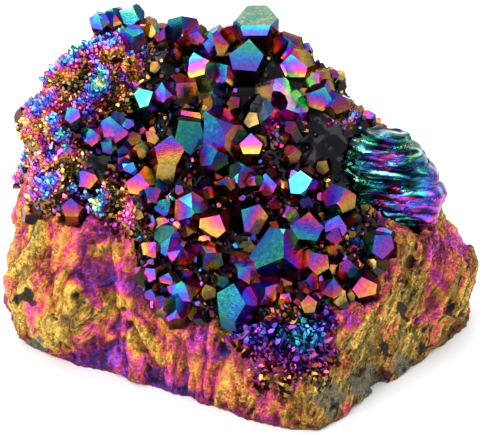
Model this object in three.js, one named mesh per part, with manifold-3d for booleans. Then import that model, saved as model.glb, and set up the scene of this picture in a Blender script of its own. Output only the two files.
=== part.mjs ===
// Titanium aura quartz cluster: a broken block of host rock with a sloping crust of quartz points
// on its upper face, and one big striated crystal lying on its right shoulder.
// Millimetres, +Z up. The rock rests on its flat underside at z = 0, and its front corner points along -Y.
import * as THREE from "three";
import { ConvexGeometry } from "three/addons/geometries/ConvexGeometry.js";
import { mergeVertices } from "three/addons/utils/BufferGeometryUtils.js";
import Module from "manifold-3d";

const wasm = await Module();
wasm.setup();

// ---- Driving dimensions ----
const GAP = 0.3; // clearance between pieces that were grown or broken against each other
const CRUST_THICKNESS = 3.4; // depth of massive quartz under the points
const ROOT_DEPTH = 2.2; // how far a point is rooted below the crust's surface
const ROCK_SEGMENTS = 12; // divisions of each edge of the sphere that the rock is shaped from
const ROCK_CENTRE = new THREE.Vector3(0, 0, 18);
const EDGE_SOFTNESS = 1.1; // how far the broken faces round into each other
const LUMP_SOFTNESS = 2.5; // how far the lumps ease into the faces that they stand on
const RELIEF = 0.8; // height of the rock's swells, folds and leaves
const FOLD_PITCH = 7.5; // spacing of the upright folds
const LEAF_PITCH = 4.8; // spacing of the slanting leaves
const BED_MARGIN = 12; // how far the bed under the crust reaches past the rock's bare faces
const SLIVER = 0.01; // corners closer than this are one corner
const SPLINTER = 1; // cubic millimetres below which a broken-off scrap is left out
const TIP_SLOPE = 1.27; // fall of a point's tip faces for each millimetre out from its axis
const SMALL_FACE = 0.5; // how much higher every second tip face sits, for a radius of 1, so it is smaller

// ---- The slanting layout frame: across, up the slope and out of the crystal face ----
const SLANT = THREE.MathUtils.degToRad(35);
const LAYOUT_CENTRE = new THREE.Vector3(0, 0, 22.1);
const ACROSS = new THREE.Vector3(1, 0, 0);
const UPSLOPE = new THREE.Vector3(0, Math.sin(SLANT), Math.cos(SLANT));
const OUTWARD = new THREE.Vector3(0, -Math.cos(SLANT), Math.sin(SLANT));

function laidOut(u, v, w) {
  const place = LAYOUT_CENTRE.clone().addScaledVector(ACROSS, u);
  return place.addScaledVector(UPSLOPE, v).addScaledVector(OUTWARD, w);
}

// ---- Broken faces of the rock: outward normal, and a point that the face goes through ----
const ROCK_FACES = [
  { normal: [-0.47, -0.87, 0.17], through: [8.7, -31.1, 0] }, // left front wall
  { normal: [0.75, -0.65, 0.12], through: [14.3, -28.6, 0] }, // right front wall
  { normal: [0.05, -0.98, 0.2], through: [8, -31, 0] }, // nose between the two walls
  { normal: [-0.98, -0.05, 0.2], through: [-38.7, 0, 10] }, // left end
  { normal: [-0.8, -0.55, -0.25], through: [-37, -7, 6] }, // undercut at the left foot
  { normal: [-0.79, 0.35, 0.5], through: [-31, 12, 38], crusted: true }, // upper left shoulder
  { normal: [0, -0.55, 0.84], through: [0, -22, 15.5], crusted: true }, // sloping crystal face
  { normal: [0.72, 0.3, 0.62], through: [13.5, 18, 39], crusted: true }, // upper right flank
  { normal: [0.64, -0.13, 0.75], through: [31, -5, 20.6] }, // right shoulder
  { normal: [0.96, 0.1, 0.25], through: [36.5, 0, 9] }, // right end
  { normal: [0.02, 0.985, 0.17], through: [0, 29, 4] }, // back
  { normal: [-0.6, 0.78, 0.2], through: [-28, 21, 10] }, // left back
  { normal: [0.62, 0.76, 0.2], through: [27, 17, 8] }, // right back
  { normal: [0, 0, -1], through: [0, 0, -2] }, // below the cut that the rock stands on
];

// Rounded lumps that stand out of the faces: centre and radius.
const ROCK_LUMPS = [
  { centre: [-19.5, 17.6, 42.6], radius: 5.8, crusted: true }, // top left knob
  { centre: [-26.4, 14, 39], radius: 6.2, crusted: true },
  { centre: [-30.4, 9, 34.6], radius: 6.2, crusted: true },
  { centre: [-29.5, 3, 29.5], radius: 5.6, crusted: true },
  { centre: [32.8, 0.6, 9.8], radius: 7.3 }, // right lobe, overhanging its foot
  { centre: [-26.5, -0.5, 9], radius: 13 }, // left foot
  { centre: [-28.5, 5, 18], radius: 10 },
  { centre: [13.5, 11, 27], radius: 9.5, crusted: true }, // dark swelling of the right flank
];

// Pits in the walls: place (u, v) in the layout frame, radius, and how long they are for their width.
const ROCK_PITS = [
  { u: -36.4, v: -13.4, radius: 1.5, long: 1.3 },
  { u: -4, v: -21.2, radius: 1.2, long: 1.8 },
  { u: 27.7, v: -7.4, radius: 1.1, long: 1.2 },
  { u: 26.6, v: -11, radius: 1, long: 1.6 },
  { u: 34.4, v: -15.6, radius: 1.5, long: 1.2 },
  { u: 22.6, v: -21.6, radius: 1.1, long: 2 },
  { u: 22.8, v: -27.4, radius: 2.6, long: 1.2 },
];

// ---- Quartz points ----
// Each is [u, v, radius, length, du, dv, spin]: the place of its root in the layout frame, its size, how
// far its tip leans from its root, and its turn about its own axis in degrees.
const POINTS = [
  // knob at the top left
  [-24.1, 32.6, 1.6, 3.4, -0.3, 1.1, 10], [-21.8, 33.2, 1.9, 3.9, 0, 1.3, 40],
  [-18.9, 33.4, 2.1, 4.2, 0.2, 1.6, 0], [-18.9, 30.2, 2, 4.1, 0.6, -0.3, 25],
  [-15.8, 31.4, 1.6, 3.6, 0.3, 0.9, 15],
  // crest
  [-10.6, 31.2, 2.8, 5.2, 0.2, 2, 30], [-14, 30.8, 1.7, 3.5, 0.7, 0.8, 0],
  [-5.6, 28.8, 2.4, 4.7, -0.1, 1.9, 0], [-3.6, 29.4, 2.5, 4.7, -1, 1.4, 20],
  [-2, 30.8, 1.9, 3.9, 0.2, 1, 40],
  [0.9, 26, 3.2, 6.7, -0.4, 3, 30], [7.3, 28.4, 2.5, 4.5, 0.1, 0.8, 10],
  [8.2, 25.4, 2.7, 4.9, 0, 1.8, 20], [12.4, 23.2, 2.2, 4.1, 0.2, 0.6, 35],
  [11.9, 20.6, 2.5, 5.2, 1.5, 0.7, 15], [14.8, 19.8, 2.3, 4.4, 0.9, 0.4, 0],
  // upper slope
  [-6.6, 24.6, 2.5, 6.2, -1.6, 2.6, 20], [-9, 21.4, 2.6, 5.2, -2.4, 0.6, 5],
  [-13.2, 21.4, 2.1, 4.1, -0.2, 0.6, 0], [-16.2, 19, 2.1, 4.7, 0.8, 1.8, 25],
  [-5.8, 20.2, 2.6, 4.7, 0.9, 0.9, 10], [-2.8, 24, 2.5, 4.7, 0, 0.9, 30],
  [-4.4, 15.6, 3.9, 6.7, -1.6, 1.6, 15], [-10, 14.2, 3.1, 5.6, -0.2, 1.4, 0],
  [-12.2, 10.4, 2.9, 6.2, -0.3, 2.6, 30], [-5.2, 9.6, 2.2, 4.7, 0.7, 1.2, 10],
  [0.2, 12.2, 2.2, 4.5, 1, 1.4, 40], [-0.2, 7.2, 2.7, 5.2, -0.1, 1.3, 0],
  [4.2, 6.2, 2.4, 4.5, -1, 0.9, 20], [10.2, 5, 2.6, 4.7, 0.9, 1.2, 15],
  [10.4, -1.2, 3, 5.4, 0.2, 1.8, 30], [-8, 2.4, 2.6, 5.4, -0.6, -1.9, 0],
  [-16.6, 6.6, 2.5, 4.7, -1, 0.4, 10], [-15.6, 3.6, 1.9, 3.9, -0.8, 0.6, 35],
  [-13, 2, 1.7, 3.7, 0.3, 0.7, 0], [-20.7, 9.4, 1.9, 3.7, -0.3, 0.2, 20],
  [-17.4, 11.2, 1.7, 3.7, -0.5, 0.6, 0], [-26.7, 6.8, 2, 4.1, -0.4, 0.6, 15],
  [-22.6, 14.6, 2.8, 5.6, 0.7, 2, 5], [-28.6, 17.2, 1.7, 3.5, -0.6, 0.6, 0],
  [-28.4, 2, 1.9, 3.9, -0.4, 0.8, 25],
  [15.9, 3.4, 2.5, 4.6, 0.5, 1, 10], [18.2, 8.6, 1.7, 3.4, 0.6, 0.8, 0],
  // lower slope
  [-12.4, -4, 2.7, 5.2, 0.8, 1.6, 0], [-10.4, -6, 2.2, 4.5, 0.3, 0.6, 30],
  [-5.4, -6.4, 2.5, 4.9, -1, 0.4, 0], [-9.2, -10.4, 2.7, 5.2, -1.2, -0.5, 20],
  [0.6, -8, 3.1, 5.8, -1.8, -0.4, 10], [-1.6, -13.4, 3.1, 5.8, 0.2, 1.8, 0],
  [3.8, -12, 2.4, 4.5, -0.2, 0.5, 25], [6, -5.4, 4.3, 7.2, 0.5, -1.4, 30],
  [11.2, -6.6, 2.4, 4.5, 0.4, 0.4, 0], [15.8, -0.8, 2.2, 4.5, -0.3, 0.9, 20],
  [22.2, -4.2, 2.5, 4.7, -0.3, 0.9, 15], [19.8, -10.6, 2.2, 3.9, -0.2, 0.6, 40],
  [1.2, 0.6, 2.9, 5.6, -1.7, 0.5, 20], [-4, 0, 2.6, 5.2, -0.5, 0, 0],
  [-10.6, -14.4, 2.5, 4.5, -0.8, 0.8, 30], [10.2, -10.8, 1.7, 3.5, 0.2, 0.3, 0],
];
const LEAN_UP = 0.28; // how much more each of these points leans up the slope, as a share of its length
const LEAN_ASIDE = 0.5; // and the most that it leans from side to side, in lengths
const LEAN_SINK = 0.75; // how far its root goes the other way, as a share of these leans
const OTHER_TURN = 60; // degrees by which every second one is turned, so that an edge faces the front
// The one big point with a hollow, unhealed tip.
const HOLLOW_POINT = [5.4, 18, 4.7, 7.2, 0.2, 0.6, 45];
const HOLLOW_RADIUS = 3.3;
const HOLLOW_DEPTH = 4.6;
const HOLLOW_SHIFT = [0.5, 1.5]; // of the pit from the point's axis
const HOLLOW_SEED = 99;
// The stout point on the crest, its tip broken off level.
const BLUNT_POINT = [2.1, 30.2, 3.5, 7.6, 0, 5.6, 30];
const BLUNT_TOP = 48.2;
const BLUNT_SEED = 98;

// Points that carry the crust over the crest: headings and height above the horizon in degrees.
const BACK_ROW = { height: 56, from: 40, to: 125, count: 6, radius: 2.4, length: 3.8 };

const MOST_MISS = 4; // how far clear of the rock's outline a point on the crest may be placed

// Edge of the crust, in the layout frame.
const CRUST_EDGE = [
  [-44, 1], [-44, 42], [14, 42], [20, 27], [24, 15], [21, 9], [20, 1], [24, -2.5], [22, -8], [18, -13],
  [12, -15], [5, -15.5], [0, -17.5], [-6, -16.5], [-12, -17], [-17, -11], [-17.5, -4], [-20, 1], [-25, 1.5],
  [-33, 0],
];
// Parts of the crust that follow the lumps under them: the knobs at the upper left, and the right flank.
const KNOB_EDGES = [
  [[-44, 1], [-44, 42], [-12, 42], [-17, 20], [-21, 12], [-20, 1]],
  [[9, 22], [14, 26], [26, 20], [24, 2], [10, 4]],
];
const CRUST_BACK = -22; // how far behind the layout plane the crust goes on
const CRUST_FRONT = 40;

// ---- Striated crystal: a big crystal lying on its side, grown as a stack of plates ----
const SHEAF_CENTRE = new THREE.Vector3(25, 3, 27.2);
const SHEAF_HALF = new THREE.Vector3(8.9, 7.8, 8.4); // half length, half depth and half height of the whole
const SHEAF_PLATES = 10;
const SHEAF_LEAN = 20; // degrees that the plates tip towards the back
const SHEAF_ROLL = 5; // degrees that they tip down to the right
const SHEAF_SHEAR = 0.2; // how far a plate sits to the left for each millimetre that it is higher up
const PLATE_STEP = 0.13; // share by which one plate stands out further than the next
const PLATE_OUTLINE = [
  // corners for a half length and half width of 1: a blunt chisel on the left, rounded on the right
  [-1, -0.35], [-0.8, -0.86], [-0.3, -0.98], [0.5, -1], [0.86, -0.72], [1, -0.1], [0.86, 0.6], [0.4, 0.95],
  [-0.6, 0.92], [-1, 0.3],
];
const PLATE_BEVEL = 0.86; // size of a plate's top and bottom against its widest line

// ---- Solids ----
function solid(geometry, weld = 1e-5) {
  const bare = geometry.index ? geometry.toNonIndexed() : geometry.clone();
  bare.deleteAttribute("normal");
  bare.deleteAttribute("uv");
  const merged = mergeVertices(bare, weld);
  const vertProperties = merged.attributes.position.array;
  const triVerts = new Uint32Array(merged.index.array);
  return new wasm.Manifold(new wasm.Mesh({ numProp: 3, vertProperties, triVerts }));
}

function geometryOf(manifold) {
  const mesh = manifold.getMesh();
  const geometry = new THREE.BufferGeometry();
  geometry.setAttribute("position", new THREE.BufferAttribute(new Float32Array(mesh.vertProperties), 3));
  geometry.setIndex(new THREE.BufferAttribute(new Uint32Array(mesh.triVerts), 1));
  return geometry;
}

function joined(solids) {
  return solids.reduce((all, one) => all.add(one));
}

// A solid without the slivers, splinters and bubbles that a join or a cut leaves.
function sound(manifold) {
  const welded = solid(geometryOf(manifold), SLIVER);
  return joined(welded.decompose().filter((part) => part.volume() > SPLINTER));
}

// A repeatable number from 0 to 1 for item i, feature j.
function chance(i, j) {
  const wave = Math.sin(i * 12.9898 + j * 78.233 + 4.1) * 43758.5453;
  return wave - Math.floor(wave);
}

// ---- Rock ----
const FACES = ROCK_FACES.map(({ normal, through, crusted }) => {
  const n = new THREE.Vector3(...normal).normalize();
  return { n, d: n.dot(new THREE.Vector3(...through).sub(ROCK_CENTRE)), crusted };
});
const LUMPS = ROCK_LUMPS.map(({ centre, radius, crusted }) => {
  return { c: new THREE.Vector3(...centre).sub(ROCK_CENTRE), r: radius, crusted };
});

// Smooth random swells from 0 to 1, about `size` across.
function swell(p, size, seed) {
  const cell = [p.x, p.y, p.z].map((x) => Math.floor(x / size));
  const ease = [p.x, p.y, p.z].map((x, k) => THREE.MathUtils.smoothstep(x / size - cell[k], 0, 1));
  let sum = 0;
  for (let corner = 0; corner < 8; corner++) {
    const step = [corner & 1, (corner >> 1) & 1, (corner >> 2) & 1];
    const weight = step.reduce((w, on, k) => w * (on ? ease[k] : 1 - ease[k]), 1);
    sum += weight * chance(cell[0] + step[0] + 57 * (cell[1] + step[1]), cell[2] + step[2] + seed);
  }
  return sum;
}

// A sharp ridge at each whole number, with a rounded trough between.
function ridge(x) {
  return 1 - Math.abs(2 * (x - Math.floor(x)) - 1);
}

// Height of the surface above the plain broken faces: swells, upright folds on the left wall and
// slanting leaves on the right wall and the back.
function relief(p) {
  const wander = 1.4 * swell(p, 9, 11);
  const swells = 2 * swell(p, 13, 1) + 1.6 * swell(p, 6.5, 2) - 1.8;
  const folds = ridge((0.88 * p.x - 0.47 * p.y + 0.15 * p.z) / FOLD_PITCH + wander);
  const leaves = ridge((0.73 * (0.65 * p.x + 0.76 * p.y) - 0.69 * p.z) / LEAF_PITCH + wander);
  const toTheRight = THREE.MathUtils.smoothstep(0.76 * p.x - 0.65 * p.y, 16, 30);
  return RELIEF * (swells + 1.5 * THREE.MathUtils.lerp(folds, leaves, toTheRight) - 0.75);
}

// The larger of two lengths, eased where they are close.
function blended(a, b) {
  const near = Math.max(LUMP_SOFTNESS - Math.abs(a - b), 0) / LUMP_SOFTNESS;
  return Math.max(a, b) + (near * near * LUMP_SOFTNESS) / 4;
}

// Distance from the rock's centre to its surface along a direction.
function rockReach(direction) {
  let sum = 0;
  for (const { n, d } of FACES) {
    const facing = n.dot(direction);
    if (facing > 0.02) sum += Math.exp(-d / facing / EDGE_SOFTNESS);
  }
  let reach = -EDGE_SOFTNESS * Math.log(sum);
  for (const { c, r } of LUMPS) {
    const along = c.dot(direction);
    const off = r * r - c.lengthSq() + along * along;
    if (off > 0 && along > 0) reach = blended(reach, along + Math.sqrt(off));
  }
  return reach + relief(direction.clone().multiplyScalar(reach).add(ROCK_CENTRE));
}

function rockBlock(shrunk) {
  const ball = mergeVertices(bareBall(), 1e-6);
  const places = ball.attributes.position;
  const direction = new THREE.Vector3();
  for (let i = 0; i < places.count; i++) {
    direction.fromBufferAttribute(places, i).normalize();
    const reach = rockReach(direction) - shrunk;
    places.setXYZ(i, ...direction.multiplyScalar(reach).add(ROCK_CENTRE).toArray());
  }
  return solid(ball);
}

function bareBall() {
  const ball = new THREE.IcosahedronGeometry(1, ROCK_SEGMENTS);
  ball.deleteAttribute("normal");
  ball.deleteAttribute("uv");
  return ball;
}

// A broken hollow in a wall, longer up and down than across.
function pit({ u, v, radius, long }) {
  const hollow = new THREE.IcosahedronGeometry(radius, 0).scale(1, 1, long);
  return solid(hollow.translate(...surfaceAt(u, v).toArray()), 1e-4);
}

// Everything below the resting plane.
function ground() {
  const size = 200;
  return solid(new THREE.BoxGeometry(size, size, size).translate(0, 0, -size / 2));
}

// ---- Points ----
// The corners of a convex body given by its planes (normal, distance).
function cornersOf(planes) {
  const corners = [];
  for (let i = 0; i < planes.length; i++)
    for (let j = i + 1; j < planes.length; j++)
      for (let k = j + 1; k < planes.length; k++) {
        const [a, b, c] = [planes[i], planes[j], planes[k]];
        const bc = b.n.clone().cross(c.n);
        const volume = a.n.dot(bc);
        if (Math.abs(volume) < 1e-6) continue;
        const corner = bc.multiplyScalar(a.d)
          .addScaledVector(c.n.clone().cross(a.n), b.d)
          .addScaledVector(a.n.clone().cross(b.n), c.d)
          .divideScalar(volume);
        if (planes.every(({ n, d }) => n.dot(corner) < d + 1e-5)) corners.push(corner);
      }
  return corners;
}

// A quartz point on +Z with its root at the origin, its radius taken to its sides. Its tip faces are
// unequal, as real ones are.
function quartzPoint(seed, radius, length, gap) {
  const planes = [{ n: new THREE.Vector3(0, 0, -1), d: ROOT_DEPTH + gap }];
  for (let k = 0; k < 6; k++) {
    const turn = (k * Math.PI) / 3;
    const side = new THREE.Vector3(Math.cos(turn), Math.sin(turn), 0);
    planes.push({ n: side, d: radius * (0.9 + 0.2 * chance(seed, k)) + gap });
    const small = k % 2 ? SMALL_FACE * (0.1 + 1.8 * chance(seed, 20)) : 0;
    const tip = new THREE.Vector3(TIP_SLOPE * side.x, TIP_SLOPE * side.y, 1);
    const steepness = tip.length();
    const height = length + radius * (small + 0.3 * (chance(seed, k + 6) - 0.5));
    planes.push({ n: tip.divideScalar(steepness), d: height / steepness + gap });
  }
  return new ConvexGeometry(cornersOf(planes));
}

// Where a point at (u, v) is rooted: the first rock met going in from the front, or the nearest miss.
function surfaceAt(u, v) {
  for (let miss = 0; miss < MOST_MISS; miss += 0.5) {
    for (let w = CRUST_FRONT; w > CRUST_BACK; w -= 0.2) {
      const p = laidOut(u, v, w).sub(ROCK_CENTRE);
      if (p.length() - rockReach(p.clone().normalize()) <= miss) return laidOut(u, v, w);
    }
  }
  throw new Error("no rock under the point at " + u + ", " + v);
}

function rooted(geometry, root, axis, spin) {
  const turned = new THREE.Matrix4().makeRotationZ(THREE.MathUtils.degToRad(spin));
  const leaned = new THREE.Matrix4().makeRotationFromQuaternion(
    new THREE.Quaternion().setFromUnitVectors(new THREE.Vector3(0, 0, 1), axis),
  );
  return geometry.applyMatrix4(turned).applyMatrix4(leaned).translate(...root.toArray());
}

function frontPoint([u, v, radius, length, du, dv, spin], seed, gap) {
  const rise = Math.sqrt(Math.max(length * length - du * du - dv * dv, 1));
  const axis = laidOut(du, dv, rise).sub(LAYOUT_CENTRE).normalize();
  return solid(rooted(quartzPoint(seed, radius, length, gap), surfaceAt(u, v), axis, spin));
}

// The front points, each with its further lean up the slope.
function leaningPoints(gap) {
  return POINTS.map(([u, v, radius, length, du, dv, spin], i) => {
    const up = LEAN_UP * length * (0.3 + 1.4 * chance(i, 31));
    const aside = LEAN_ASIDE * length * (chance(i, 32) - 0.5);
    const root = [u - LEAN_SINK * aside, v - LEAN_SINK * up];
    const turn = spin + (i % 2) * OTHER_TURN;
    return frontPoint([...root, radius, length, du + aside, dv + up, turn], i, gap);
  });
}

// A row of points that carries the crust over the crest.
function backPoints(gap) {
  const { height, from, to, count, radius, length } = BACK_ROW;
  return Array.from({ length: count }, (_, i) => {
    const seed = 200 + i;
    const heading = THREE.MathUtils.degToRad(from + ((to - from) * i) / (count - 1));
    const rise = THREE.MathUtils.degToRad(height + 8 * (chance(seed, 1) - 0.5));
    const level = Math.cos(rise);
    const outward = new THREE.Vector3(Math.cos(heading) * level, Math.sin(heading) * level, Math.sin(rise));
    const root = outward.clone().multiplyScalar(rockReach(outward)).add(ROCK_CENTRE);
    const size = 0.8 + 0.4 * chance(seed, 2);
    const point = quartzPoint(seed, radius * size, length * size, gap);
    return solid(rooted(point, root, outward, 60 * chance(seed, 3)));
  });
}

// The big point, with a six-sided pit where its tip failed to grow together.
function hollowPoint() {
  const [u, v, , length, du, dv] = HOLLOW_POINT;
  const hollow = new THREE.ConeGeometry(HOLLOW_RADIUS, HOLLOW_DEPTH, 6).rotateX(-Math.PI / 2);
  hollow.translate(...HOLLOW_SHIFT, length - HOLLOW_DEPTH / 2);
  const rise = Math.sqrt(length * length - du * du - dv * dv);
  const axis = laidOut(du, dv, rise).sub(LAYOUT_CENTRE).normalize();
  const whole = frontPoint(HOLLOW_POINT, HOLLOW_SEED, 0);
  return whole.subtract(solid(rooted(hollow, surfaceAt(u, v), axis, 0)));
}

function bluntPoint(gap) {
  return frontPoint(BLUNT_POINT, BLUNT_SEED, gap).trimByPlane([0, 0, -1], -BLUNT_TOP - gap);
}

// ---- Crust ----
function widened(edge, gap) {
  return edge.map(([u, v], i) => {
    const [u0, v0] = edge[(i + edge.length - 1) % edge.length];
    const [u1, v1] = edge[(i + 1) % edge.length];
    const [tu, tv] = [u1 - u0, v1 - v0];
    const size = Math.hypot(tu, tv);
    return [u - (tv / size) * gap, v + (tu / size) * gap];
  });
}

// A block over an outline, from behind the crest to well in front of the face.
function outlined(edge, gap) {
  const outline = new THREE.Shape(widened(edge, gap).map(([u, v]) => new THREE.Vector2(u, v)));
  const depth = CRUST_FRONT - CRUST_BACK + gap;
  const window = new THREE.ExtrudeGeometry(outline, { depth, bevelEnabled: false });
  window.translate(0, 0, CRUST_BACK - gap);
  const frame = new THREE.Matrix4().makeBasis(ACROSS, UPSLOPE, OUTWARD).setPosition(LAYOUT_CENTRE);
  return solid(window.applyMatrix4(frame));
}

// The broken faces as plain facets, the crusted ones sunk by a depth and the bare ones raised by a margin.
function facets(depth, margin) {
  const planes = FACES.map(({ n, d, crusted }) => ({ n, d: crusted ? d - depth : d + margin }));
  return solid(new ConvexGeometry(cornersOf(planes)).translate(...ROCK_CENTRE.toArray()));
}

// The hollow in the rock that the crust fills, with its clearance.
function crustRoom() {
  const open = outlined(CRUST_EDGE, GAP).subtract(facets(CRUST_THICKNESS + GAP, BED_MARGIN));
  const large = [frontPoint(HOLLOW_POINT, HOLLOW_SEED, GAP), bluntPoint(GAP)];
  return joined([open, ...leaningPoints(GAP), ...large, ...backPoints(GAP)]);
}

function crust(block) {
  const knobs = block.intersect(joined(KNOB_EDGES.map((edge) => outlined(edge, 0))));
  const skin = facets(0, -GAP).add(knobs).intersect(outlined(CRUST_EDGE, 0));
  const bare = skin.subtract(facets(CRUST_THICKNESS, BED_MARGIN));
  return joined([bare, ...leaningPoints(0), hollowPoint(), bluntPoint(0), ...backPoints(0)]);
}

// ---- Striated crystal ----
// Plate i of the stack, widest near its middle line, so each plate stands out as a ledge.
function plate(i, gap) {
  const thick = SHEAF_HALF.z / SHEAF_PLATES;
  const level = (2 * i + 1 - SHEAF_PLATES) * thick;
  const fullness = Math.sqrt(1 - Math.pow(level / (SHEAF_HALF.z + 0.5 * thick), 2));
  const share = fullness * (1 - PLATE_STEP * ((i % 2) + chance(i, 31)) * 0.5);
  const long = SHEAF_HALF.x * share + gap;
  const wide = SHEAF_HALF.y * share + gap;
  const high = thick * 1.25 + gap;
  const corners = [];
  for (const [x, y] of PLATE_OUTLINE) {
    corners.push(new THREE.Vector3(x * long, y * wide, 0.3 * thick));
    for (const side of [-1, 1]) {
      corners.push(new THREE.Vector3(PLATE_BEVEL * x * long, PLATE_BEVEL * y * wide, side * high));
    }
  }
  const turned = new ConvexGeometry(corners).rotateZ(0.3 * (chance(i, 32) - 0.5));
  turned.rotateY(THREE.MathUtils.degToRad(SHEAF_ROLL) + 0.12 * (chance(i, 33) - 0.5));
  const aside = 1.2 * (chance(i, 34) - 0.5) - SHEAF_SHEAR * level;
  turned.translate(aside, 1.2 * (chance(i, 35) - 0.5), level);
  return solid(turned.rotateX(THREE.MathUtils.degToRad(-SHEAF_LEAN)).translate(...SHEAF_CENTRE.toArray()));
}

function sheaf(gap) {
  return joined(Array.from({ length: SHEAF_PLATES }, (_, i) => plate(i, gap)));
}

// ---- Assembly ----
function piece(name, manifold, colour, roughness, metalness) {
  const material = new THREE.MeshStandardMaterial({ color: colour, roughness, metalness });
  material.flatShading = true;
  const mesh = new THREE.Mesh(geometryOf(manifold), material);
  mesh.name = name;
  return mesh;
}

const block = rockBlock(0);
const sheafRoom = sheaf(GAP);
const pits = joined(ROCK_PITS.map(pit));
const matrix = sound(block.subtract(joined([crustRoom(), sheafRoom, pits, ground()])));
const points = sound(crust(block).subtract(sheafRoom));

const cluster = new THREE.Group();
cluster.add(piece("matrix", matrix, 0xb98a3c, 0.5, 0.5));
cluster.add(piece("crystal_crust", points, 0x3b3f78, 0.2, 0.9));
cluster.add(piece("striated_crystal", sheaf(0), 0x1e7f86, 0.25, 0.9));

export default cluster;
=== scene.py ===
import itertools
import math

import bmesh
import bpy
import numpy as np
from mathutils import Matrix, Vector, noise


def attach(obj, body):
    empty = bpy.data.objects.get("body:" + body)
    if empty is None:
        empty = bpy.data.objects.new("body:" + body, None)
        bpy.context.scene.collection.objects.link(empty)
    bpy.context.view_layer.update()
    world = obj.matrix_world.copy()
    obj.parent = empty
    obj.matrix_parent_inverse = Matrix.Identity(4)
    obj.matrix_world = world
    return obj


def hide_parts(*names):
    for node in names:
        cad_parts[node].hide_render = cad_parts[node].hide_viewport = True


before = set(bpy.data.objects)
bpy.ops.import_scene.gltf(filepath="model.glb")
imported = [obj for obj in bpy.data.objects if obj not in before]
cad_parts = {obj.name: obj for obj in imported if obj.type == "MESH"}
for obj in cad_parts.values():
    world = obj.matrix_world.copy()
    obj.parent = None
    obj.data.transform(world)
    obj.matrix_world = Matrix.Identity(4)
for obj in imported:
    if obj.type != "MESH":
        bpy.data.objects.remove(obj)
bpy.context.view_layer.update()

MM = 0.001

# ---------------------------------------------------------------- layout of the crystal face
SLANT = math.radians(35)
LAYOUT_CENTRE = Vector((0, 0, 22.1))
ACROSS = Vector((1, 0, 0))
UPSLOPE = Vector((0, math.sin(SLANT), math.cos(SLANT)))
OUTWARD = Vector((0, -math.cos(SLANT), math.sin(SLANT)))

# Colours that a titanium film takes as it thickens, from bare bronze to the second yellow.
FILM_COLOURS = [
    (0.00, "4A3A26"), (0.10, "B08E38"), (0.17, "D0A038"), (0.25, "DC8638"), (0.33, "CE4C5A"),
    (0.41, "C0308E"), (0.49, "942CB0"), (0.57, "5A38C4"), (0.65, "2460CC"), (0.73, "128CC0"),
    (0.80, "0E9C9C"), (0.87, "24A88A"), (0.94, "98DCC0"), (1.00, "E6DC94"),
]

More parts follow.
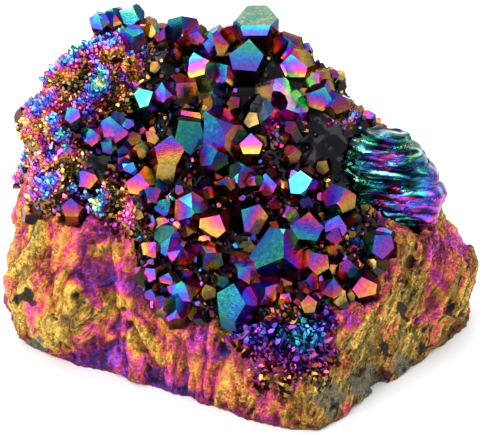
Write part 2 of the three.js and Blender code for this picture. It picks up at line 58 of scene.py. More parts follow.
# Main quartz points: place of the root (u, v), radius, length, lean (du, dv), spin in degrees,
# and the film's thickness at the tip and how much thinner it is where the tip meets the sides.
# All but the hollow and the blunt point then lean further up the slope.
FRONT_POINTS = [
    # knob at the top left
    (-24.1, 32.6, 1.6, 3.4, -0.3, 1.1, 10, 0.76, 0.1), (-21.8, 33.2, 1.9, 3.9, 0, 1.3, 40, 0.66, 0.3),
    (-18.9, 33.4, 2.1, 4.2, 0.2, 1.6, 0, 0.93, 0.15), (-18.9, 30.2, 2, 4.1, 0.6, -0.3, 25, 0.84, 0.3),
    (-15.8, 31.4, 1.6, 3.6, 0.3, 0.9, 15, 0.22, 0.15),
    # crest
    (-10.6, 31.2, 2.8, 5.2, 0.2, 2, 30, 0.88, 0.5), (-14, 30.8, 1.7, 3.5, 0.7, 0.8, 0, 0.42, 0.15),
    (-5.6, 28.8, 2.4, 4.7, -0.1, 1.9, 0, 0.82, 0.18), (-3.6, 29.4, 2.5, 4.7, -1, 1.4, 20, 0.64, 0.3),
    (-2, 30.8, 1.9, 3.9, 0.2, 1, 40, 0.45, 0.2), (0.9, 26, 3.2, 6.7, -0.4, 3, 30, 0.86, 0.2),
    (7.3, 28.4, 2.5, 4.5, 0.1, 0.8, 10, 0.86, 0.65), (8.2, 25.4, 2.7, 4.9, 0, 1.8, 20, 0.58, 0.4),
    (12.4, 23.2, 2.2, 4.1, 0.2, 0.6, 35, 0.45, 0.25), (11.9, 20.6, 2.5, 5.2, 1.5, 0.7, 15, 0.92, 0.7),
    (14.8, 19.8, 2.3, 4.4, 0.9, 0.4, 0, 0.5, 0.3),
    # upper slope
    (-6.6, 24.6, 2.5, 6.2, -1.6, 2.6, 20, 0.76, 0.6), (-9, 21.4, 2.6, 5.2, -2.4, 0.6, 5, 0.55, 0.2),
    (-13.2, 21.4, 2.1, 4.1, -0.2, 0.6, 0, 0.66, 0.28), (-16.2, 19, 2.1, 4.7, 0.8, 1.8, 25, 0.8, 0.12),
    (-5.8, 20.2, 2.6, 4.7, 0.9, 0.9, 10, 0.95, 0.1), (-2.8, 24, 2.5, 4.7, 0, 0.9, 30, 0.74, 0.55),
    (-4.4, 15.6, 3.9, 6.7, -1.6, 1.6, 15, 0.6, 0.2), (-10, 14.2, 3.1, 5.6, -0.2, 1.4, 0, 0.78, 0.16),
    (-12.2, 10.4, 2.9, 6.2, -0.3, 2.6, 30, 0.7, 0.45), (-5.2, 9.6, 2.2, 4.7, 0.7, 1.2, 10, 0.7, 0.3),
    (0.2, 12.2, 2.2, 4.5, 1, 1.4, 40, 0.72, 0.42), (-0.2, 7.2, 2.7, 5.2, -0.1, 1.3, 0, 0.84, 0.32),
    (4.2, 6.2, 2.4, 4.5, -1, 0.9, 20, 0.76, 0.25), (10.2, 5, 2.6, 4.7, 0.9, 1.2, 15, 0.78, 0.36),
    (10.4, -1.2, 3, 5.4, 0.2, 1.8, 30, 0.3, -0.42), (-8, 2.4, 2.6, 5.4, -0.6, -1.9, 0, 0.8, 0.4),
    (-16.6, 6.6, 2.5, 4.7, -1, 0.4, 10, 0.56, 0.38), (-15.6, 3.6, 1.9, 3.9, -0.8, 0.6, 35, 0.5, 0.3),
    (-13, 2, 1.7, 3.7, 0.3, 0.7, 0, 0.76, 0.35), (-20.7, 9.4, 1.9, 3.7, -0.3, 0.2, 20, 0.38, 0.15),
    (-17.4, 11.2, 1.7, 3.7, -0.5, 0.6, 0, 0.26, 0.15), (-26.7, 6.8, 2, 4.1, -0.4, 0.6, 15, 0.66, 0.3),
    (-22.6, 14.6, 2.8, 5.6, 0.7, 2, 5, 0.8, 0.42), (-28.6, 17.2, 1.7, 3.5, -0.6, 0.6, 0, 0.76, 0.45),
    (-28.4, 2, 1.9, 3.9, -0.4, 0.8, 25, 0.6, 0.3),
    (15.9, 3.4, 2.5, 4.6, 0.5, 1, 10, 0.44, 0.28), (18.2, 8.6, 1.7, 3.4, 0.6, 0.8, 0, 0.76, 0.05),
    # lower slope
    (-12.4, -4, 2.7, 5.2, 0.8, 1.6, 0, 0.74, 0.2), (-10.4, -6, 2.2, 4.5, 0.3, 0.6, 30, 0.52, 0.15),
    (-5.4, -6.4, 2.5, 4.9, -1, 0.4, 0, 0.68, 0.5), (-9.2, -10.4, 2.7, 5.2, -1.2, -0.5, 20, 0.74, 0.38),
    (0.6, -8, 3.1, 5.8, -1.8, -0.4, 10, 0.8, 0.64), (-1.6, -13.4, 3.1, 5.8, 0.2, 1.8, 0, 0.7, 0.04),
    (3.8, -12, 2.4, 4.5, -0.2, 0.5, 25, 0.64, 0.4), (6, -5.4, 4.3, 7.2, 0.5, -1.4, 30, 0.88, 0.42),
    (11.2, -6.6, 2.4, 4.5, 0.4, 0.4, 0, 0.54, 0.3), (15.8, -0.8, 2.2, 4.5, -0.3, 0.9, 20, 0.62, 0.14),
    (22.2, -4.2, 2.5, 4.7, -0.3, 0.9, 15, 0.72, 0.08), (19.8, -10.6, 2.2, 3.9, -0.2, 0.6, 40, 0.52, 0.1),
    (1.2, 0.6, 2.9, 5.6, -1.7, 0.5, 20, 0.8, 0.6), (-4, 0, 2.6, 5.2, -0.5, 0, 0, 0.32, 0.2),
    (-10.6, -14.4, 2.5, 4.5, -0.8, 0.8, 30, 0.8, 0.38), (10.2, -10.8, 1.7, 3.5, 0.2, 0.3, 0, 0.6, 0.28),
]
HOLLOW_POINT = (5.4, 18, 4.7, 7.2, 0.2, 0.6, 45, 0.9, 0.26)
BLUNT_POINT = (2.1, 30.2, 3.5, 7.6, 0, 5.6, 30, 0.95, 0.6)
LEAN_UP = 0.28  # share of the length
LEAN_ASIDE = 0.5  # the most that it leans from side to side, in lengths
LEAN_SINK = 0.75  # how far the root goes the other way, as a share of these leans
OTHER_TURN = 60  # degrees by which every second one is turned, so that an edge faces the front

# Crystals that fill in between the main ones, in the same terms.
FILL_POINTS = [
    # crest and upper slope
    (-7.8, 30.2, 1.6, 3.3, 0.2, 0.8, 12, 0.42, 0.2), (-15.6, 25.2, 1.2, 2.4, 0.2, 0.5, 20, 0.3, 0.3),
    (-11.6, 27.2, 1.3, 2.6, -0.3, 0.6, 5, 0.5, 0.3), (-19.6, 15.6, 1.1, 2.4, 0.2, 0.8, 0, 0.74, 0.1),
    (-22.5, 12, 1.5, 3.2, 0.3, 0.5, 20, 0.74, 0.3), (-18.9, 13.4, 1.6, 3.4, 0.3, 0.6, 0, 0.5, 0.2),
    (-16.8, 14.4, 1.5, 3, 0, 0.6, 35, 0.3, -0.3), (-25.4, 13.8, 1.7, 3.4, -0.5, 0.6, 10, 0.78, 0.4),
    (-18.6, 8.6, 1.5, 3, 0.2, 0.4, 15, 0.68, 0.1), (7.8, 10.6, 1.3, 2.6, 0.3, 0.3, 25, 0.3, 0.3),
    (13.4, 8.6, 1.4, 2.8, 0.3, 0.6, 5, 0.2, 0.1), (-5.4, 4.4, 1.5, 3.1, 0.1, 0.6, 40, 0.46, 0.3),
    (-3.1, 5.8, 1.3, 3, 0.2, -0.5, 0, 0.42, 0.35), (1.8, 6.2, 1.2, 2.6, 0, 0.4, 30, 0.27, 0.1),
    (4.8, 2.6, 1.3, 2.8, 0.3, 0.5, 30, 0.32, 0.2), (7.4, 1.2, 1.5, 3, -0.2, 0.4, 0, 0.66, 0.5),
    # lower slope
    (-9.4, -1.6, 1.4, 2.9, -0.3, 0.4, 0, 0.36, 0.2), (-14.6, -5.2, 1.8, 3.7, -0.2, 1, 15, 0.42, 0.3),
    (-12.8, -9.8, 1.4, 2.8, 0.2, 0.5, 15, 0.7, 0.5), (-14.6, -9, 1.6, 3.3, -0.3, 0.3, 45, 0.4, 0.25),
    (-14.9, -12.2, 1.6, 3.2, -0.3, 0.4, 0, 0.5, 0.15), (-13, -14, 1.6, 3.1, 0, 0.4, 15, 0.42, 0.2),
    (-6.2, -12, 1.6, 3.5, 0.1, 0.5, 40, 0.25, 0.12), (-4, -10.4, 1.3, 2.8, 0, 0.5, 10, 1.0, 0.05),
    (15.3, -2.8, 1.6, 3.5, 0.1, 0.4, 5, 0.44, 0.2), (15.2, -5, 1.5, 3, 0, 0.3, 25, 0.15, 0.05),
    (18.6, -7.4, 1.3, 2.6, 0.2, 0.2, 20, 0.3, 0.3), (14.9, -11.2, 1.9, 3.9, -0.2, 0.8, 10, 0.68, 0.34),
    (7.4, -13, 1.3, 2.6, 0, 0.4, 0, 0.7, 0.5), (12.4, -13.4, 1.2, 2.4, 0.2, 0.2, 30, 0.3, 0.2),
]

# Soft round spots on the surface, (u, v, radius, value), where the film keeps to one thickness.
ROCK_SPOTS = [
    # left wall
    (-30.5, -3, 3.4, 0.3), (-27, -5, 2, 0.36), (-26.5, -9, 2, 0.38), (-25.5, -12.5, 2.2, 0.37),
    (-22.5, -1, 3, 0.34), (-21.5, -9.5, 3, 0.4), (-16.5, -3, 3, 0.3), (-33, -11, 2.4, 0.24),
    (-27, -23, 3, 0.4), (-22, -23, 3.2, 0.43), (-17, -25, 3, 0.38), (-25.5, -19, 2.4, 0.36),
    (-20, -18, 2.6, 0.4), (-18, -19, 1.8, 0.13), (-17, -22, 1.6, 0.14), (-31, -18, 3.4, 0.13),
    # leaf-shaped panel and the low front
    (-11, -20, 4, 0.26), (-7, -20, 2, 0.39), (-6, -26, 2.4, 0.33), (-12, -28, 3, 0.36),
    (-3.4, -21.5, 1.7, 0.5), (-5, -16, 2.5, 0.32), (-2, -27, 3, 0.2), (1, -30.5, 3, 0.16),
    # nose
    (2, -19.5, 3, 0.58), (9, -19.5, 5, 0.72), (5.5, -25, 4, 0.5), (6.5, -14.5, 3, 0.22),
    (11.5, -25, 3.2, 0.5), (4.3, -31, 3, 0.32), (8.5, -34, 3.5, 0.15), (13.5, -28.5, 3.5, 0.16),
    # right wall and its lobe
    (17, -12, 2.8, 0.42), (18, -17, 2.4, 0.39), (25, -9, 2.5, 0.3), (21, -14, 2.2, 0.32),
    (30, -17, 2.4, 0.32), (32, -5, 2.2, 0.43), (32.3, -10, 2.2, 0.45), (32, -16, 2.2, 0.42),
    (37, -9, 4.2, 0.27), (36.5, -3.6, 2.4, 0.45), (34, -17, 2.6, 0.28), (22, -6.5, 2.4, 0.24),
]
CRUST_SPOTS = [
    # knob at the top left, from its top down
    (-22, 31.5, 4.5, 0.76), (-18.5, 29.5, 3.4, 0.7), (-24.5, 27.5, 3, 0.5), (-22, 27, 2.6, 0.62),
    (-23.2, 24, 3.4, 0.17), (-19.5, 24.6, 3, 0.46), (-27, 26, 2.8, 0.62), (-28.4, 23.4, 2.8, 0.46),
    # shoulder
    (-25.7, 21, 2.8, 0.62), (-20.5, 21.6, 2.6, 0.7), (-19, 19.6, 2, 0.16), (-22.6, 19.4, 2.2, 0.48),
    (-30.5, 19.6, 3, 0.36), (-33.4, 18, 3.2, 0.6), (-34.5, 14.4, 3, 0.3), (-33.5, 10.6, 3.6, 0.52),
    (-30.4, 11.4, 2.6, 0.46), (-32, 7, 3, 0.5), (-29, 7.6, 2.4, 0.18), (-20, 2.6, 3.6, 0.2),
    (-23.4, -1, 3, 0.44),
]
# Where the crust carries the finest crystals, where it is bare and dark, and where the rock's nose
# has its crystals.
FINE_SPOTS = [
    (-22, 30, 7, 1), (-27.5, 24, 6, 1), (-22.5, 21.5, 5, 1), (-32, 17.5, 6, 1), (-34, 10, 6, 1),
    (-31, 5, 4.5, 1), (-20.5, 1.5, 4.5, 1), (-25, -1.5, 4, 1), (-13, 2.0, 2.4, 0.4), (17, 18.5, 3, 0.6),
]
DARK_SPOTS = [
    (-14, 26, 4.5, 1), (-25, 10.6, 4.6, 1), (-21.5, 7.5, 3, 0.8), (-26, 2, 3.4, 1), (15, 14, 6.5, 1),
    (17.5, 8.5, 3.6, 1), (-1.8, 19.5, 3, 0.6), (8, -3, 3, 0.4), (1.5, -3, 3, 0.5), (5.5, 20, 5.5, 1.2),
]
NOSE_SPOTS = [
    (8.8, -19.5, 5.2, 1), (2, -19.5, 3.4, 1), (5.5, -24.5, 4, 0.8), (11.5, -24, 3.4, 0.8),
    (-19, 0, 3.4, 0.8),
]
# Film and painted light and shade of the striated crystal, and the direction that its plates are stacked
# in.
STRIATED_SPOTS = [
    (22.5, 9.7, 2.8, 0.46), (24.8, 9.8, 1.6, 0.36), (19.3, 3.2, 2.2, 0.84), (23.6, 3, 2.4, 0.34),
    (26.4, 3.4, 1.7, 0.3), (29.6, 5.4, 1.4, 0.74), (28.3, 1, 1.8, 0.48), (32.6, 7, 2.4, 0.52),
    (32.8, 2, 2.8, 0.45), (31.5, -2, 2.8, 0.42), (24, 14.5, 1.8, 0.46), (25, -0.6, 1.5, 0.78),
]
STRIATED_SHADES = [
    (22.5, 9.7, 2, 0.4), (24.8, 9.8, 1.2, 0.75), (19.3, 3.2, 1.8, 0.25), (23.6, 3, 1.8, 0.3),
    (26.4, 3.4, 1.4, 0.45), (29.6, 5.4, 1.3, 0.8), (28.3, 1, 1.4, 0.7), (32.6, 7, 2.2, 0.6),
    (32.8, 2, 3.2, 0.8), (31.5, -2, 3, 0.8), (24, 14.5, 1.4, 0.8), (22, 0, 1.6, 0.6), (30, 11, 2.4, 0.5),
]
PLATE_AXIS = (0.09, 0.34, 0.94)
# Where the rock is bare of film, and where holes are painted on as near-black painted shade.
BARE_SPOTS = [
    (14, -30, 3, 0.8), (20.5, -28, 3.4, 0.9), (26, -25, 2.6, 0.75), (-30.5, -16.6, 1.6, 0.6),
    (-34.5, -22, 1.8, 0.8),
]
HOLE_SPOTS = [
    (27.7, -7.3, 0.8, 1), (26.8, -10.3, 0.8, 1), (26.8, -15.7, 0.9, 1), (34.7, -15.7, 1.3, 1),
    (22.7, -22, 1, 0.9), (-36.7, -13.5, 1.4, 1), (-3.5, -21.5, 0.9, 0.9), (-31.8, -16.5, 0.7, 0.8),
    (19, -25.5, 0.8, 0.9), (30, -21.5, 0.7, 0.9),
]

TIP_STEEPNESS = 1.27  # fall of a tip face for each unit out from the axis
SMALL_FACE = 0.5  # how much further out every second tip face lies, in radii
FACET_SPREAD = 0.16  # how much the film differs from one face of a crystal to the next
VAPOUR_AND_PAINTED_LIGHT = (UPSLOPE * 0.45 - ACROSS * 0.6 + OUTWARD * 0.7).normalized()  # where the metal vapour came from, and the way of the painted light: faces turned this way get a thicker film and are painted brighter
FLATNESS = 0.9992  # how closely a face has to match a crystal's plane, as a cosine
SKIN_EDGE = 0.9 * MM  # the longest edge left on the skin between the points
SKIN_SHADE = 0.04  # the painted shade of the skin between the points: how bright its film is on its bare, dark places
HOLLOW_RADIUS = 3.3
HOLLOW_SHIFT = (0.7, 2.1)  # from the root of the hollow point to the middle of its pit
PIT = 20  # the facet number of the inside of the hollow point
HOLLOW = len(FRONT_POINTS)  # its number among all the points
BLUNT = HOLLOW + 1
SHADED = 10  # the number of the point in front of the blunt one, which is painted in shade
FILL_SEED = 300  # where the fill points' numbers start
CREST = 24  # v past which the points stand on the crest
BLUNT_LEVEL = 45  # millimetres up, past which a level face is the blunt point's top
LOWEST_POINTS = 12 * MM  # the skin grows no small points below this height
NOSE_BACK = 5 * MM  # the nose's crystals all stand in front of this
MOST_POINTS = 6e6  # to a square metre, before they are thinned to their spacing
ROCK_MESH = 0.45 * MM  # how finely the rock and the striated crystal are meshed
STRIATED_MESH = 0.23 * MM
WORN_START = 26.5  # x in millimetres where the striated crystal's worn end starts, at this height
WORN_HEIGHT = 27
WORN_LENGTH = 4.5  # over which it gets fully worn
EASING_ROUNDS = 120
EASING_STEP = 0.7
SKYWARD = (-0.25, -0.1, 0.96)  # the druse's film is thicker on what faces this way
RIGHT_WALL = (0.8, -0.6, 0.1)  # the way that the leafy right wall faces
# across the right wall's leaves, along them, and out of the wall
LEAF_AXES = [(0.475, 0.555, -0.69), (0.44, 0.52, 0.73), (0.76, -0.65, 0.0)]
VIEW_WIDTH = 488 / 6  # millimetres across the view

# Lights: name, place and size in metres, brightness of the face in watts per square metre and steradian.
WORLD_LIGHT = 0.55
SOFTBOXES = [
    ("key", (-0.85, -0.4, 0.8), (1.3, 1.1), 3.3), ("top", (0.15, 0.5, 1.0), (1.6, 0.8), 2.8),
    ("front", (0.5, -2.1, 1.5), (2.6, 1.6), 2.0), ("side", (1.3, -1.0, 0.5), (0.9, 0.7), 1.7),
]


def laid_out(u, v, w=0.0):
    return ACROSS * u + UPSLOPE * v + OUTWARD * w


def chance(i, j):
    """A repeatable number from 0 to 1 for item i, feature j."""
    wave = math.sin(i * 12.9898 + j * 78.233 + 4.1) * 43758.5453
    return wave - math.floor(wave)


def leaning(number, row):
    """A point's row with its own further lean up the slope and to the side."""
    u, v, radius, length, du, dv, spin, tip, fall = row
    up = LEAN_UP * length * (0.3 + 1.4 * chance(number, 31))
    aside = LEAN_ASIDE * length * (chance(number, 32) - 0.5)
    turn = spin + number % 2 * OTHER_TURN
    return u - LEAN_SINK * aside, v - LEAN_SINK * up, radius, length, du + aside, dv + up, turn, tip, fall


def colour_value(code):
    """A colour code as linear red, green, blue and alpha."""
    parts = [int(code[i:i + 2], 16) / 255 for i in (0, 2, 4)]
    return (*[c / 12.92 if c <= 0.04045 else ((c + 0.055) / 1.055) ** 2.4 for c in parts], 1.0)


def smoothed(share):
    return share * share * (3 - 2 * share)


# ---------------------------------------------------------------- node trees
class Value:
    """A node's output; a sum, difference or product with it is one more Math node."""

    def __init__(self, board, node, output=0):
        self.board = board
        self.node = node
        self.output = output

    def __getitem__(self, output):
        """Another output of the same node."""
        return Value(self.board, self.node, output)

    def __add__(self, other):
        return self.board.math("ADD", self, other)

    def __sub__(self, other):
        return self.board.math("SUBTRACT", self, other)

    def __rsub__(self, other):
        return self.board.math("SUBTRACT", other, self)

    def __mul__(self, other):
        return self.board.math("MULTIPLY", self, other)

    def spread(self, low, high, to_low=0.0, to_high=1.0, smooth=True):
        """Low to high becomes to_low to to_high, with no overshoot."""
        settings = {"interpolation_type": "SMOOTHSTEP" if smooth else "LINEAR"}
        return self.board.add("ShaderNodeMapRange", settings, self, low, high, to_low, to_high)


class Board:
    """Adds nodes to a tree and wires them; an input takes a number, a tuple, a colour code or a Value."""

    def __init__(self, tree):
        self.tree = tree

    def wire(self, socket, value):
        if isinstance(value, Value):
            self.tree.links.new(value.node.outputs[value.output], socket)
        elif value is not None:
            coded = socket.type == "RGBA" and isinstance(value, str)
            socket.default_value = colour_value(value) if coded else value

    def add(self, kind, settings=None, *values, **inputs):
        """A new node, with values for its first inputs in turn and for the inputs named."""
        node = self.tree.nodes.new(kind)
        for name, value in (settings or {}).items():
            setattr(node, name, value)
        for socket, value in zip(node.inputs, values):
            self.wire(socket, value)
        for name, value in inputs.items():
            self.wire(node.inputs[name.replace("_", " ")], value)
        return Value(self, node)

    def math(self, operation, a, b=None):
        return self.add("ShaderNodeMath", {"operation": operation}, a, b)

    def vector(self, operation, a, b=None):
        return self.add("ShaderNodeVectorMath", {"operation": operation}, a, b)

    def scaled(self, a, scale):
        return self.add("ShaderNodeVectorMath", {"operation": "SCALE"}, a, Scale=scale)

    def dot(self, a, b):
        return self.vector("DOT_PRODUCT", a, tuple(b))["Value"]

    def noise(self, place, scale, detail=2.0, rough=0.5, warp=0.0):
        return self.add(
            "ShaderNodeTexNoise", Vector=place, Scale=scale, Detail=detail, Roughness=rough, Distortion=warp
        )

    def cells(self, place, scale, feature="F1"):
        return self.add("ShaderNodeTexVoronoi", {"feature": feature}, Vector=place, Scale=scale)

    def mix(self, kind, share, a, b):
        """Share 0 gives a, 1 gives b."""
        mixed = self.add("ShaderNodeMix", {"data_type": kind}, share)
        turn = ("FLOAT", "VECTOR", "RGBA").index(kind)
        self.wire(mixed.node.inputs[2 + 2 * turn], a)
        self.wire(mixed.node.inputs[3 + 2 * turn], b)
        return mixed[turn]

    def lerp(self, share, a, b):
        return self.mix("FLOAT", share, a, b)

    def blend(self, share, a, b):
        return self.mix("RGBA", share, a, b)

    def place(self):
        """Object coordinates in millimetres."""
        return self.scaled(self.add("ShaderNodeTexCoord")["Object"], 1 / MM)

    def attribute(self, name):
        return self.add("ShaderNodeAttribute", {"attribute_name": name})["Fac"]

    def film(self, thickness, brightness, paleness):
        return self.add("ShaderNodeGroup", {"node_tree": FILM}, thickness, brightness, paleness)

    def bump(self, height, strength, distance, normal=None):
        inputs = {"Height": height, "Strength": strength, "Distance": distance, "Normal": normal}
        return self.add("ShaderNodeBump", **inputs)

    def coat(self, **inputs):
        """Ends a material with its shader."""
        self.add("ShaderNodeOutputMaterial", None, self.add("ShaderNodeBsdfPrincipled", **inputs))


def new_tree(name, kind, inputs, outputs):
    """A tree, its board and its inputs; a socket is given as its kind or, for a number, its value."""
    tree = bpy.data.node_groups.new(name, kind)
    for in_out, sockets in (("INPUT", inputs), ("OUTPUT", outputs)):
        for title, given in sockets.items():
            word = given if isinstance(given, str) else "Float"
            socket = tree.interface.new_socket(title, in_out=in_out, socket_type="NodeSocket" + word)
            if word is not given:
                socket.default_value = given
    board = Board(tree)
    return tree, board, board.add("NodeGroupInput")


def film_group():
    """Shader group: the colour of a metal film of a given thickness, and how deep that colour is."""
    inputs = {"Thickness": 0.0, "Brightness": 0.0, "Paleness": 0.0}
    group, board, source = new_tree("metal film colour", "ShaderNodeTree", inputs, {"Color": "Color"})
    ramp = board.add("ShaderNodeValToRGB", None, source["Thickness"])
    stops = ramp.node.color_ramp.elements
    while len(stops) < len(FILM_COLOURS):
        stops.new(1.0)
    for stop, (place, code) in zip(stops, FILM_COLOURS):
        stop.position = place
        stop.color = colour_value(code)
    pale = board.blend(source["Paleness"], ramp, "E8DCD0")
    board.add("NodeGroupOutput", Color=board.scaled(pale, source["Brightness"]))
    return group


def grain_group():
    """Shader group: glittering grain, as a normal that turns from grain to grain, and its bright grains,
    which are painted glints.
    """
    inputs = {"Place": "Vector", "Grain size": 0.0, "Turn": 0.0, "Normal": "Vector"}
    outputs = {"Normal": "Vector", "Painted glints": 0.0, "Grain tone": 0.0}
    group, board, source = new_tree("glittering grain", "ShaderNodeTree", inputs, outputs)
    colour = board.cells(source["Place"], board.math("DIVIDE", 1.0, source["Grain size"]))["Color"]
    tilt = board.scaled(board.vector("SUBTRACT", colour, (0.5, 0.5, 0.5)), source["Turn"])
    turned = board.vector("NORMALIZE", board.vector("ADD", source["Normal"], tilt))
    tones = board.add("ShaderNodeSeparateColor", None, colour)
    board.add("NodeGroupOutput", None, turned, tones.spread(0.82, 0.9), tones[1])
    return group


def crack_group():
    """Shader group: painted shade in cracks and slits along a grain."""
    inputs = {"Grain place": "Vector", "Place": "Vector", "Amount": 0.0}
    group, board, source = new_tree("cracks along the grain", "ShaderNodeTree", inputs, {"Dark": 0.0})
    place = source["Place"]
    bent = board.vector("ADD", source["Grain place"], board.scaled(place, 0.12))
    crack = board.cells(bent, 0.6, "DISTANCE_TO_EDGE").spread(0.02, 0.12, 1.0, 0.0)
    crack = crack * board.noise(place, 0.5, 3.0).spread(0.48, 0.6)
    slit = board.cells(bent, 0.9).spread(0.14, 0.26, 1.0, 0.0)
    slit = slit * board.noise(place, 0.3, 3.0).spread(0.4, 0.5)
    board.add("NodeGroupOutput", Dark=board.math("MAXIMUM", crack, slit) * source["Amount"])
    return group


def new_material(name):
    material = bpy.data.materials.new(name)
    material.use_nodes = True
    material.node_tree.nodes.clear()
    return material, Board(material.node_tree)


def coated_quartz():
    """Clean faces under a smooth metal film, as bright as their painted light and shade, with near-black
    painted shade on the skin between them.
    """
    material, board = new_material("coated quartz")
    place = board.place()
    cloud = board.noise(place, 0.5, 3.0, 0.6, 0.6) - 0.5
    mottle = board.noise(place, 3.0, 4.0, 0.65) - 0.5
    # shade: the painted light and shade, a brightness for the film's colour
    shade = board.attribute("shade")
    pale = board.attribute("pale")
    patchy = board.noise(place, 1.7, 5.0, 0.7).spread(0.32, 0.68, 0.68, 1.28, smooth=False)
    tint = board.film(board.attribute("film") + cloud * 0.2 + mottle * 0.1, shade * patchy, pale + 0.03)
    # painted shade: the skin between the points goes near black, darker still where its shade is lowest
    painted_gap_shade = board.blend(patchy, "141518", "29282E")
    painted_gap_shade = board.scaled(painted_gap_shade, shade.spread(0.0, SKIN_SHADE, 0.35, 1.0))
    coated = shade.spread(0.05, 0.22)
    polish = board.noise(place, 1.3, 4.0, 0.6).spread(0.35, 0.75, 0.08, 0.24) + pale
    lines = board.vector("MULTIPLY", place, (0.6, 0.6, 3.0))
    growth = board.noise(lines, 1.6, 3.0, 0.5) * 0.25 + board.noise(place, 4.0, 4.0) * 0.6
    board.coat(
        Base_Color=board.blend(coated, painted_gap_shade, tint), Roughness=board.lerp(coated, 0.42, polish),
        Metallic=1.0, Specular_Tint=(0.5, 0.5, 0.55, 1), Coat_Weight=0.3, Coat_Roughness=0.12,
        Normal=board.bump(growth, 0.1, 0.2 * MM),
    )
    return material


def coated_rock():
    """Broken rock under the same film: grainy, with painted glints and painted light and shade, worn to
    olive mineral and bare in places.
    """
    material, board = new_material("coated host rock")
    place = board.place()
    crest = board.attribute("crest")
    right = board.attribute("right_wall")
    medium = board.noise(place, 0.36, 4.0, 0.62, 1.0) - 0.5
    fine = board.noise(place, 2.6, 5.0, 0.75) - 0.5
    fold = board.vector("MULTIPLY", place, (0.8, 0.8, 0.25))
    leaf = board.vector("MULTIPLY", board.attribute("leaf")["Vector"], (1.0, 0.1, 0.4))
    along = board.mix("VECTOR", right, fold, leaf)
    streaks = (board.noise(along, 1.3, 5.0, 0.65, 0.3) - 0.5) * board.lerp(right, 1.0, 1.8)
    above = board.add("ShaderNodeSeparateXYZ", None, place)["Z"]
    # foot: the lowest few millimetres, which get a thicker film and painted shade where the rock meets the
    # floor
    foot = (above - medium * 6.0).spread(0.3, 3.2, 1.0, 0.0)
    surface = board.add("ShaderNodeNewGeometry")["Normal"]
    faced = board.dot(surface, VAPOUR_AND_PAINTED_LIGHT) - 0.5
    sugar = board.noise(place, 0.13, 3.0, 0.6, 0.5).spread(0.44, 0.58)

    thick = board.attribute("film") + (medium * 0.26 + streaks * 0.3)
    thick = thick + fine * board.lerp(sugar, 0.13, 0.28) - (crest - 0.5) * 0.14
    thick = thick + faced * 0.14 + right * 0.02
    thick = board.math("MAXIMUM", thick + foot * board.lerp(right, 0.12, 0.04), 0.1)
    turn = board.lerp(sugar, 0.25, 1.3)
    grain = board.add("ShaderNodeGroup", {"node_tree": GRAIN}, place, 0.34, turn, surface)
    glints = grain["Painted glints"]
    cracks = board.add("ShaderNodeGroup", {"node_tree": CRACKS}, along, place, board.lerp(right, 0.5, 1.0))

    # painted light and shade: brighter on the crests and darker in the hollows, the left wall brighter than
    # the right wall
    lit = crest.spread(0.05, 0.5, 0.35, 1.4) * board.lerp(right, 1.2, 0.8)
    rough = fine.spread(-0.16, 0.16, 0.25, 1.55, smooth=False)
    rough = rough * grain["Grain tone"].spread(0.0, 1.0, 0.5, 1.7, smooth=False)
    lit = lit * board.lerp(sugar, board.lerp(0.45, rough, 1.0), rough)
    lit = lit * streaks.spread(-0.16, 0.16, 0.45, 1.45, smooth=False)
    # painted glints on the bright grains
    lit = lit + glints * board.lerp(sugar, 0.2, 0.7)
    colour = board.film(thick, lit * board.lerp(foot, 1.0, 0.28), 0.04)
    worn = board.noise(place, 0.8, 5.0, 0.78).spread(0.47, 0.6)
    worn = worn * thick.spread(0.16, 0.36, 1.0, 0.1) * board.lerp(right, 0.35, 0.5)
    olive = board.blend(fine.spread(-0.15, 0.15), "4A4324", "B09A58")
    bare = (board.attribute("bare") + medium * 2.2 + fine * 1.6).spread(0.5, 0.75)
    grey = board.blend(fine.spread(-0.2, 0.2), "1A1B1C", "968F72")
    # painted shade: the painted holes, the cracks and the pits go near black
    ragged = (board.attribute("hole") + fine * 1.2).spread(0.45, 0.65, 0.0, 0.95)
    dark = board.math("MAXIMUM", board.math("MAXIMUM", board.attribute("pit") * 0.9, cracks), ragged)
    colour = board.blend(bare, board.blend(worn, colour, olive), grey)

    coated = 1.0 - board.math("MAXIMUM", bare, dark)
    polish = (glints * coated).spread(0.0, 1.0, 0.34, 0.14, smooth=False)
    height = (fine + board.noise(place, 6.0, 4.0, 0.7) * 0.4) * board.lerp(sugar, 0.4, 1.0)
    height = height + streaks * 1.6 - cracks * 0.5
    board.coat(
        Base_Color=board.blend(dark, colour, "0A0807"), Metallic=coated * 0.85,
        Roughness=board.lerp(dark, polish, 0.85), Normal=board.bump(height, 0.9, 0.6 * MM, grain),
    )
    return material


def coated_striae():
    """The striated crystal's film, with fine lines along its plates, as bright as its painted light and
    shade.
    """
    material, board = new_material("coated striated quartz")
    place = board.place()
    ledges = board.vector("MULTIPLY", place, (0.35, 0.35, 1.6))
    wander = board.noise(ledges, 0.55, 4.0, 0.6, 0.6) - 0.5
    fine = board.noise(place, 2.2, 4.0, 0.7) - 0.5
    thick = board.attribute("film") + wander * 0.3 + fine * 0.08
    board.coat(
        Base_Color=board.film(thick, board.attribute("shade"), 0.05), Metallic=1.0,
        Roughness=fine.spread(-0.15, 0.2, 0.12, 0.34),
        Normal=board.bump(board.noise(ledges, 2.5, 4.0, 0.6), 0.25, 0.3 * MM),
    )
    return material


# ---------------------------------------------------------------- meshes
def object_of(mesh, name):
    made = bpy.data.objects.new(name, mesh)
    bpy.context.scene.collection.objects.link(made)
    return made


def shell_of(mesh):
    shell = bmesh.new()
    shell.from_mesh(mesh)
    return shell


def mesh_from(shell, name):
    mesh = bpy.data.meshes.new(name)
    shell.to_mesh(mesh)
    shell.free()
    return mesh


def coat_layers(shell):
    """The film and the painted light and shade of a mesh's face corners."""
    return [shell.loops.layers.float.new(name) for name in ("film", "shade")]


def array_of(vectors):
    return np.array([tuple(v) for v in vectors])


